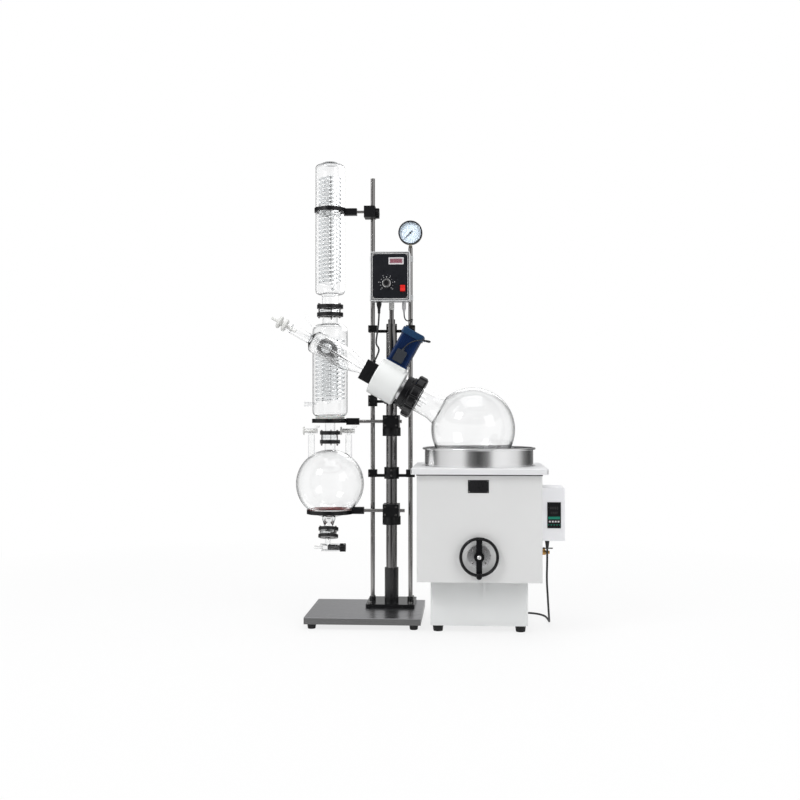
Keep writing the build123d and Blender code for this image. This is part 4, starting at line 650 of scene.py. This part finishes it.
def splineCurve(name, points, bevel):
    curve = bpy.data.curves.new(name, "CURVE")
    curve.dimensions = "3D"
    curve.resolution_u = 8
    spline = curve.splines.new("NURBS")
    spline.points.add(len(points) - 1)
    for point, place in zip(spline.points, points):
        point.co = (*place, 1)
    spline.order_u = 3
    spline.use_endpoint_u = True
    curve.bevel_depth = bevel
    curve.bevel_resolution = 5
    curve.use_fill_caps = True
    piece = bpy.data.objects.new(name, curve)
    bpy.context.scene.collection.objects.link(piece)
    return piece


def splineLine(points):
    # The points that the spline itself passes, read from the curve with no thickness
    guide = splineCurve("guide", points, 0.0)
    bpy.context.view_layer.update()
    mesh = bpy.data.meshes.new_from_object(guide)
    line = [tuple(vertex.co) for vertex in mesh.vertices]
    bpy.data.meshes.remove(mesh)
    bpy.data.objects.remove(guide)
    return line


def lineLength(line):
    return sum((Vector(after) - Vector(before)).length for before, after in zip(line, line[1:]))


def makeCables():
    for name, cable in cordRoutes.items():
        piece = splineCurve(name, cable["points"], cable["diameter"] / 2)
        piece.data.materials.append(finishes["cord"])
        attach(piece, "stand")
        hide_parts(cable["node"])
        print(name, "spline", round(lineLength(splineLine(cable["points"])), 4))


def makeBathCord():
    stubX, coilY = bathCord["stubX"], bathCord["coilY"]
    floorZ, topZ = bathCord["floor"], bathCord["floor"] + bathCord["layer"]
    points = bathCord["route"] + [(stubX, coilY - bathCord["outer"], floorZ)]
    points += coilPoints()
    points += [(stubX, coilY + bathCord["outer"], topZ), (*bathCord["plugEnd"], topZ)]
    curve = splineCurve("bathCordCurve", points, bathCord["diameter"] / 2)
    line = splineLine(points)
    selectOnly(curve)
    bpy.ops.object.convert(target="MESH")
    piece = named("bathCord")
    for polygon in piece.data.polygons:
        polygon.use_smooth = True
    piece.data.materials.clear()
    piece.data.materials.append(finishes["cord"])
    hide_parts("bath_cord", "bath_cord_coil")
    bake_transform(piece)


makeCables()
makeBathCord()
print("cords")


# Cooling coils: wound tubes with a riser in the middle and pipes to the nozzles
coilSets = {
    "upperCoil": {"outer": 0.042, "outerTube": 0.012, "inner": 0.027, "innerTube": 0.010, "bottom": 1.381,
                  "turns": 26, "topPort": 1.834, "lowPort": 1.363, "reach": 0.088, "turn": 0.0},
    "lowerCoil": {"outer": 0.0555, "outerTube": 0.012, "inner": 0.030, "innerTube": 0.012, "bottom": 0.897,
                  "turns": 15, "topPort": 1.166, "lowPort": 0.879, "reach": 0.102, "turn": math.pi / 2},
}
winding = {"pitch": 0.017, "tubeSides": 12, "stepsPerTurn": 32}
pipeRadii = {"crossOver": 0.0046, "inlet": 0.0044, "riser": 0.0044}


def woundTube(name, radius, tube, bottom, turns, side):
    clearSelection()
    bpy.ops.mesh.primitive_circle_add(vertices=winding["tubeSides"], radius=tube / 2,
                                      location=(0, radius, bottom), rotation=(math.pi / 2, 0, math.pi / 2))
    piece = named(name)
    applyPlace(piece)
    steps = winding["stepsPerTurn"]
    useModifier(piece, "wind", "SCREW", axis="Z", angle=side * 2 * math.pi, screw_offset=winding["pitch"],
                iterations=turns, steps=steps, render_steps=steps, use_merge_vertices=False)
    bpy.ops.object.mode_set(mode="EDIT")
    bpy.ops.mesh.select_mode(type="VERT")
    bpy.ops.mesh.select_all(action="DESELECT")
    bpy.ops.mesh.select_non_manifold()
    bpy.ops.mesh.fill_holes(sides=0)
    bpy.ops.mesh.select_all(action="SELECT")
    bpy.ops.mesh.normals_make_consistent(inside=False)
    bpy.ops.object.mode_set(mode="OBJECT")
    return piece


def glassPipe(name, points, radius):
    piece = splineCurve(name, points, radius)
    piece.data.bevel_resolution = 4
    selectOnly(piece)
    bpy.ops.object.convert(target="MESH")
    return named(name)


def coolingCoil(name, coil):
    outer, inner, bottom = coil["outer"], coil["inner"], coil["bottom"]
    lowPort, topPort, reach = coil["lowPort"], coil["topPort"], coil["reach"]
    top = bottom + coil["turns"] * winding["pitch"]
    parts = [woundTube("outerWind", outer, coil["outerTube"], bottom, coil["turns"], 1),
             woundTube("innerWind", inner, coil["innerTube"], bottom, coil["turns"], -1)]
    pipes = {
        "crossOver": [(0, outer, top), (-0.012, outer - 0.002, top + 0.004),
                      (-0.018, (outer + inner) / 2, top + 0.012), (-0.008, inner + 0.002, top + 0.008),
                      (0, inner, top)],
        "inlet": [(0, outer, bottom), (0.016, outer - 0.001, bottom - 0.006),
                  (0.018, outer + 0.004, lowPort + 0.004), (0.004, outer + 0.008, lowPort),
                  (0, reach - 0.02, lowPort), (0, reach, lowPort)],
        "riser": [(0, inner, bottom), (0.014, inner - 0.004, bottom - 0.007), (0.016, 0.010, bottom - 0.012),
                  (0.004, 0.001, bottom - 0.006), (0, 0, bottom + 0.02), (0, 0, (bottom + top) / 2),
                  (0, 0, top - 0.01), (0, 0.004, topPort - 0.002), (0, 0.026, topPort),
                  (0, reach - 0.02, topPort), (0, reach, topPort)],
    }
    parts += [glassPipe(pipe, points, pipeRadii[pipe]) for pipe, points in pipes.items()]
    piece = joined(name, parts)
    place = Matrix.Translation((glass["x"], glass["y"], 0)) @ Matrix.Rotation(coil["turn"], 4, "Z")
    piece.data.transform(place)
    settle(piece, "coil", "stand", 60)
    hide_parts("condenser_coils")
    piece.visible_shadow = False


for name, coil in coilSets.items():
    coolingCoil(name, coil)
print("cooling coils")


# Gauge dial: a pale disc with a printed scale; a mark is its length and width
dial = {"x": 0.079, "z": 1.594, "back": -0.0080, "depth": 0.0006, "radius": 0.0455, "sides": 72,
        "rim": 0.0015, "dish": -0.0004, "marks": -0.0089, "printDepth": 0.0003, "numbers": -0.0087,
        "start": -45, "sweep": 270, "steps": 50, "markRing": 0.0405,
        "longMark": (0.0055, 0.0009), "middleMark": (0.004, 0.0004), "shortMark": (0.0024, 0.0004),
        "labels": 6, "labelRing": 0.0285, "labelSize": 0.0085}


def gaugeDial():
    disc = frontDisc("gaugeDial", dial["x"], dial["z"], dial["back"], dial["depth"], dial["radius"],
                     dial["sides"], dial["rim"], dial["dish"])
    settle(disc, "dial", "stand")
    marks = []
    for step in range(dial["steps"] + 1):
        if step % 10 == 0:
            length, width = dial["longMark"]
        elif step % 5 == 0:
            length, width = dial["middleMark"]
        else:
            length, width = dial["shortMark"]
        end, thick = dial["markRing"], dial["printDepth"] / 2
        mark = block("mark", (end - length, -thick, -width / 2), (end, thick, width / 2))
        angle = math.radians(dial["start"] + dial["sweep"] * step / dial["steps"])
        turn = Matrix.Rotation(-angle, 4, "Y")
        mark.data.transform(Matrix.Translation((dial["x"], dial["marks"], dial["z"])) @ turn)
        marks.append(mark)
    for label in range(dial["labels"]):
        degrees = dial["start"] + dial["sweep"] * label / (dial["labels"] - 1)
        x, z = onRing(dial["x"], dial["z"], dial["labelRing"], degrees)
        marks.append(frontText("number", str(label * 2), x, z, dial["numbers"], dial["labelSize"]))
    settle(joined("dialMarks", marks), "darkPrint", "stand")


gaugeDial()
print("gauge dial")

# Control panel: bright border, lit digits, the knob's scale and its screws
controls = {"knobX": -0.014, "knobZ": 1.374, "border": 0.0016, "borderInset": 0.0035,
            "start": 225, "sweep": 270, "dots": 11, "dotRing": 0.0265, "dot": 0.0011, "fifthDot": 0.0016,
            "numberRing": 0.0335, "numberSize": 0.0065, "screw": 0.0028, "screwInset": 0.006}
display = {"x": 0.025, "z": 1.4655, "outX": 0.031, "inX": 0.026, "outZ": 0.0145, "inZ": 0.0095,
           "lap": 0.001, "depth": 0.0022, "digitStep": 0.0115, "digitSize": 0.017}
printed = {"depth": 0.0004, "rim": 0.0003, "dish": -0.0001}
pointer = {"back": panel["front"] - 0.0168, "capRadius": 0.0105, "capDepth": 0.0012, "capRim": 0.0015,
           "capDish": 0.0004, "halfWidth": 0.0011, "start": 0.004, "end": 0.0165, "depth": 0.0010}


def panelPrint():
    front = panel["front"]
    width, inset = controls["border"], controls["borderInset"]
    left, right = panel["left"] + inset, panel["right"] - inset
    bottom, top = panel["bottom"] + inset, panel["top"] - inset
    lines = {"leftLine": (left, left + width, bottom, top), "rightLine": (right - width, right, bottom, top),
             "lowLine": (left, right, bottom, bottom + width), "topLine": (left, right, top - width, top)}
    parts = [frontPlate(name, *edges, front, printed["depth"], printed["rim"], printed["dish"])
             for name, edges in lines.items()]
    lastDot = controls["dots"] - 1
    for dot in range(controls["dots"]):
        degrees = controls["start"] - controls["sweep"] * dot / lastDot
        x, z = onRing(controls["knobX"], controls["knobZ"], controls["dotRing"], degrees)
        radius = controls["dot"] if dot % 5 else controls["fifthDot"]
        parts.append(frontDisc("dot", x, z, front, printed["depth"], radius, 12, printed["rim"],
                               printed["dish"]))
    for label in range(0, controls["dots"], 2):
        degrees = controls["start"] - controls["sweep"] * label / lastDot
        x, z = onRing(controls["knobX"], controls["knobZ"], controls["numberRing"], degrees)
        parts.append(frontText("scaleNumber", str(label), x, z, front - 0.0001, controls["numberSize"]))
    settle(joined("panelPrint", parts), "print", "stand")
    inset = controls["screwInset"]
    screws = [panHeadScrew("panelScrew", x, z, front, controls["screw"])
              for x in (left + inset, right - inset) for z in (bottom + inset, top - inset)]
    settle(joined("panelScrews", screws), "fasteners", "stand")


def speedDisplay():
    x, z, front = display["x"], display["z"], panel["front"]
    outX, inX, outZ, inZ = display["outX"], display["inX"], display["outZ"], display["inZ"]
    side = inX + display["lap"]
    bars = []
    for edges in ((x - outX, x - inX, z - outZ, z + outZ), (x + inX, x + outX, z - outZ, z + outZ),
                  (x - side, x + side, z - outZ, z - inZ), (x - side, x + side, z + inZ, z + outZ)):
        bar = frontPlate("displayBar", *edges, front, display["depth"])
        roundEdges(bar, 0.0006)
        bars.append(bar)
    settle(joined("displayFrame", bars), "keys", "stand")
    digits = textRow("digit", "0", x, z, front - 0.0008, display["digitStep"], display["digitSize"])
    settle(joined("displayDigits", digits), "digits", "stand")


def knobPointer():
    # Dark cap and pointer on the bright knob
    x, z = controls["knobX"], controls["knobZ"]
    cap = frontDisc("knobCap", x, z, pointer["back"], pointer["capDepth"], pointer["capRadius"], 40,
                    pointer["capRim"], pointer["capDish"])
    roundEdges(cap, 0.0003, 40)
    bar = frontPlate("pointer", x - pointer["halfWidth"], x + pointer["halfWidth"], z + pointer["start"],
                     z + pointer["end"], pointer["back"], pointer["depth"])
    roundEdges(bar, 0.0003)
    settle(joined("knobPointer", [cap, bar]), "knob", "speed_knob")


panelPrint()
speedDisplay()
knobPointer()
print("control panel")

# Bath front: bare black plate, the wheel's bearing flange, its centre screw
plate = {"left": 0.319, "right": 0.398, "bottom": 0.541, "top": 0.590, "depth": 0.0012, "rim": 0.0012,
         "dish": 0.0003, "rivet": 0.0018, "rivetHeight": 0.0009, "rivetInset": 0.0045, "rivetSeat": 0.0010}
flange = {"inner": 0.0200, "outer": 0.044, "depth": 0.003, "rim": 0.004, "rise": 0.0006, "sides": 64,
          "screws": 4, "screwRing": 0.034, "screw": 0.0038, "screwHeight": 0.0018}
wheelScrew = {"back": -0.4635, "radius": 0.0075, "height": 0.0030}


def bathPlate():
    front, inset = bath["front"], plate["rivetInset"]
    board = frontPlate("bathPlate", plate["left"], plate["right"], plate["bottom"], plate["top"], front,
                       plate["depth"], plate["rim"], plate["dish"])
    roundEdges(board, 0.0004)
    settle(board, "plate", "bath_lift")
    rivets = [panHeadScrew("plateRivet", x, z, front - plate["rivetSeat"], plate["rivet"],
                           plate["rivetHeight"])
              for x in (plate["left"] + inset, plate["right"] - inset)
              for z in (plate["bottom"] + inset, plate["top"] - inset)]
    settle(joined("plateRivets", rivets), "fasteners", "bath_lift")


def wheelFlange():
    # A ring with a raised rim: both faces lose their middle, and the two holes are joined by a wall
    front, rim = bath["front"], flange["rim"]
    ring = frontDisc("wheelFlange", bath["wheelX"], bath["wheelZ"], front, flange["depth"], flange["outer"],
                     flange["sides"])
    facesToward(ring, toFront)
    bpy.ops.mesh.inset(thickness=rim)
    bpy.ops.transform.translate(value=(0, -flange["rise"], 0))
    bpy.ops.mesh.inset(thickness=flange["outer"] - rim - flange["inner"])
    bpy.ops.mesh.delete(type="FACE")
    bpy.ops.object.mode_set(mode="OBJECT")
    facesToward(ring, -toFront)
    bpy.ops.mesh.inset(thickness=flange["outer"] - flange["inner"])
    bpy.ops.mesh.delete(type="FACE")
    bpy.ops.mesh.select_mode(type="VERT")
    bpy.ops.mesh.select_all(action="DESELECT")
    bpy.ops.mesh.select_non_manifold()
    bpy.ops.mesh.bridge_edge_loops()
    bpy.ops.mesh.select_all(action="SELECT")
    bpy.ops.mesh.normals_make_consistent(inside=False)
    bpy.ops.object.mode_set(mode="OBJECT")
    settle(ring, "aluminium", "bath_lift")
    screws = []
    for screw in range(flange["screws"]):
        degrees = 45 + 360 * screw / flange["screws"]
        x, z = onRing(bath["wheelX"], bath["wheelZ"], flange["screwRing"], degrees)
        screws.append(panHeadScrew("flangeScrew", x, z, front - flange["depth"] - flange["rise"],
                                   flange["screw"], flange["screwHeight"]))
    settle(joined("flangeScrews", screws), "fasteners", "bath_lift")
    hub = panHeadScrew("wheelScrew", bath["wheelX"], bath["wheelZ"], wheelScrew["back"],
                       wheelScrew["radius"], wheelScrew["height"])
    settle(hub, "knobFace", "lift_wheel")


# A black strip between the shell and the lid's overhang, on all four sides: a painted shadow, a dark sheet in
# the shade line under the overhang
shadowStrip = {"bottom": 0.6062, "top": 0.6108, "proud": 0.0014, "depth": 0.004}


def lidGasket():
    low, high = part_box("bath_shell")
    out, deep = shadowStrip["proud"], shadowStrip["depth"]
    left, right, front, back = low[0] - out, high[0] + out, low[1] - out, high[1] + out
    strips = []
    for name, fromX, toX, fromY, toY in (("frontStrip", left, right, front, front + deep),
                                         ("backStrip", left, right, back - deep, back),
                                         ("leftStrip", left, left + deep, front, back),
                                         ("rightStrip", right - deep, right, front, back)):
        strip = block(name, (fromX, fromY, shadowStrip["bottom"]), (toX, toY, shadowStrip["top"]))
        roundEdges(strip, 0.0006)
        strips.append(strip)
    # painted shadow under the lid's overhang, in the black rubber finish
    settle(joined("lidGasket", strips), "rubber", "bath_lift")


bathPlate()
wheelFlange()
lidGasket()
print("bath front")

# Temperature controller's face: heights are counted from its middle
face = {"x": 0.650, "z": 0.449, "front": -0.325, "digits": -0.324, "keyStep": 0.011,
        "reading": {"height": 0.027, "step": 0.0085, "size": 0.0145},
        "target": {"height": 0.009, "step": 0.0070, "size": 0.0115},
        "band": {"halfWidth": 0.0225, "depth": 0.0006, "rim": 0.0008, "dish": -0.0001},
        "key": {"halfWidth": 0.0034, "depth": 0.0010, "rim": 0.0008, "dish": -0.0003},
        "upperBand": (-0.0155, -0.0055), "lowerBand": (-0.0405, -0.0345), "keyCap": (-0.0275, -0.0215)}


def facePlate(name, kind, x=face["x"]):
    low, high = face[name]
    form = face[kind]
    return frontPlate(name, x - form["halfWidth"], x + form["halfWidth"], face["z"] + low, face["z"] + high,
                      face["front"], form["depth"], form["rim"], form["dish"])


def controllerFace():
    digits = []
    for name in ("reading", "target"):
        row = face[name]
        digits += textRow(name, "8", face["x"], face["z"] + row["height"], face["digits"], row["step"],
                          row["size"])
    settle(joined("controllerDigits", digits), "dimDigits", "bath_lift")
    bands = [facePlate("upperBand", "band"), facePlate("lowerBand", "band")]
    settle(joined("controllerBands", bands), "green", "bath_lift")
    caps = [facePlate("keyCap", "key", face["x"] + (place - 1.5) * face["keyStep"]) for place in range(4)]
    settle(joined("controllerKeys", caps), "keys", "bath_lift")


controllerFace()
print("controller")


# Stage: pale floor, white backdrop, soft lamps and the camera at the photograph's angle
view = {"place": (0.327, -4.634, 0.850), "pitch": 90.57, "yaw": 3.605, "lens": 50.0, "sensor": 36.0}
lampTarget = (0.15, -0.1, 0.8)
lamps = [      # name, place, size, watts, and whether polished metal shows it
    ("keyLamp", (-2.4, -2.8, 3.5), 1.4, 62.0, True),
    ("fillLamp", (3.1, -2.6, 2.3), 1.8, 37.0, False),
    ("topLamp", (0.2, -0.4, 4.2), 2.6, 53.0, False),
    ("backLamp", (0.6, 3.4, 2.6), 2.2, 35.0, False),
]
studioFloor = {"x": 0.15, "radius": 14, "sides": 96, "colour": (0.86, 0.86, 0.86), "roughness": 0.65,
               "nearGlow": 0.80, "far": (0.778, 0.45), "mirroredGlow": 0.5, "mirroredFar": (0.75, 0.8)}
sky = {"white": (1, 1, 1), "light": (0.55, 0.555, 0.56), "mirroredTop": (0.75, 0.75, 0.75),
       "mirroredRise": (0.35, 2.2), "glassTop": (0.25, 0.26, 0.27), "glassRise": (0.45, 2.5)}
mirrorPanels = [      # what polished metal sees round it: dark behind the camera, bright sides, pale behind
    (0.0, 0.55), (0.06, 0.22), (0.14, 0.05), (0.20, 0.10), (0.25, 0.70), (0.33, 0.85), (0.41, 0.90),
    (0.445, 0.22), (0.50, 0.05), (0.555, 0.22), (0.59, 0.95), (0.65, 1.0), (0.74, 0.80), (0.80, 0.20),
    (0.86, 0.06), (0.94, 0.22), (1.0, 0.55),
]


def aim(thing, target):
    direction = Vector(target) - thing.location
    thing.rotation_euler = direction.to_track_quat("-Z", "Y").to_euler()


def panelsRound(nodes, x, y):
    turn = x.math("ARCTAN2", x, y * -1.0) * (1 / (2 * math.pi)) + 0.5
    stops = [(place, (level,) * 3) for place, level in mirrorPanels]
    return nodes.node("ShaderNodeValToRGB", {"stops": stops}, {"Fac": turn}, "Color")


def notThroughGlass(nodes):
    return 1.0 - nodes.ray("Transmission Depth").clamped()


def makeStage():
    # White to the camera and through glass, darker near the object; polished metal sees the panels in it
    clearSelection()
    bpy.ops.mesh.primitive_circle_add(vertices=studioFloor["sides"], radius=studioFloor["radius"],
                                      fill_type="NGON", location=(studioFloor["x"], 0, 0))
    floor = named("paleFloor")
    applyPlace(floor)
    finish = Finish("floorFinish", Roughness=studioFloor["roughness"])
    finish.set("Base Color", studioFloor["colour"])
    x, y = finish.axis("X"), finish.axis("Y")
    reach = (x * x + y * y).root()
    far, away = reach.rising(*studioFloor["far"]), reach.rising(*studioFloor["mirroredFar"])
    glossy = finish.ray("Is Glossy Ray")
    mirrored = glossy * notThroughGlass(finish)
    clear = (finish.ray("Is Camera Ray") + finish.ray("Is Transmission Ray") + glossy - mirrored).clamped()
    near, dim = studioFloor["nearGlow"], studioFloor["mirroredGlow"]
    seen = clear * (near + far * (1 - near)) + mirrored * (dim + away * (1 - dim))
    colour = finish.mix(mirrored * away, sky["white"], panelsRound(finish, x, y))
    glow = finish.node("ShaderNodeEmission", {}, {"Color": colour, "Strength": 1.0})
    surface = Sock(finish, finish.shader.outputs[0])
    mixed = finish.node("ShaderNodeMixShader", {}, {0: seen.clamped(), 1: surface, 2: glow})
    finish.feed(finish.output.inputs["Surface"], mixed)
    floor.data.materials.append(finish.material)


def makeWorld():
    world = bpy.data.worlds.new("studio")
    world.use_nodes = True
    bpy.context.scene.world = world
    nodes = Nodes(world.node_tree)
    direction = nodes.node("ShaderNodeTexCoord", {}, {}, "Generated")
    x, y, z = (nodes.node("ShaderNodeSeparateXYZ", {}, {0: direction}, letter) for letter in "XYZ")
    mirrored = nodes.mix(z.rising(*sky["mirroredRise"]), panelsRound(nodes, x, y), sky["mirroredTop"])
    clearView = nodes.mix(z.rising(*sky["glassRise"]), sky["white"], sky["glassTop"])
    inMetal = nodes.mix(notThroughGlass(nodes), clearView, mirrored)
    light = nodes.mix(nodes.ray("Is Glossy Ray"), sky["light"], inMetal)
    light = nodes.mix(nodes.ray("Is Transmission Ray"), light, clearView)
    light = nodes.mix(nodes.ray("Is Camera Ray"), light, sky["white"])
    background = nodes.node("ShaderNodeBackground", {}, {"Color": light})
    output = nodes.tree.nodes.new("ShaderNodeOutputWorld")
    nodes.feed(output.inputs["Surface"], background)


def makeLamps():
    for name, place, size, watts, mirrored in lamps:
        lamp = bpy.data.lights.new(name, "AREA")
        lamp.shape = "SQUARE"
        lamp.size = size
        lamp.energy = watts
        thing = bpy.data.objects.new(name, lamp)
        bpy.context.scene.collection.objects.link(thing)
        thing.location = place
        thing.visible_glossy = mirrored
        aim(thing, lampTarget)


def makeCamera():
    lens = bpy.data.cameras.new("studioCamera")
    lens.lens = view["lens"]
    lens.sensor_width = view["sensor"]
    lens.clip_end = 60
    camera = bpy.data.objects.new("studioCamera", lens)
    bpy.context.scene.collection.objects.link(camera)
    camera.location = view["place"]
    camera.rotation_euler = (math.radians(view["pitch"]), 0, math.radians(view["yaw"]))
    bpy.context.scene.camera = camera


makeStage()
makeWorld()
makeLamps()
makeCamera()
bpy.context.scene.view_settings.view_transform = "Standard"
print("stage")
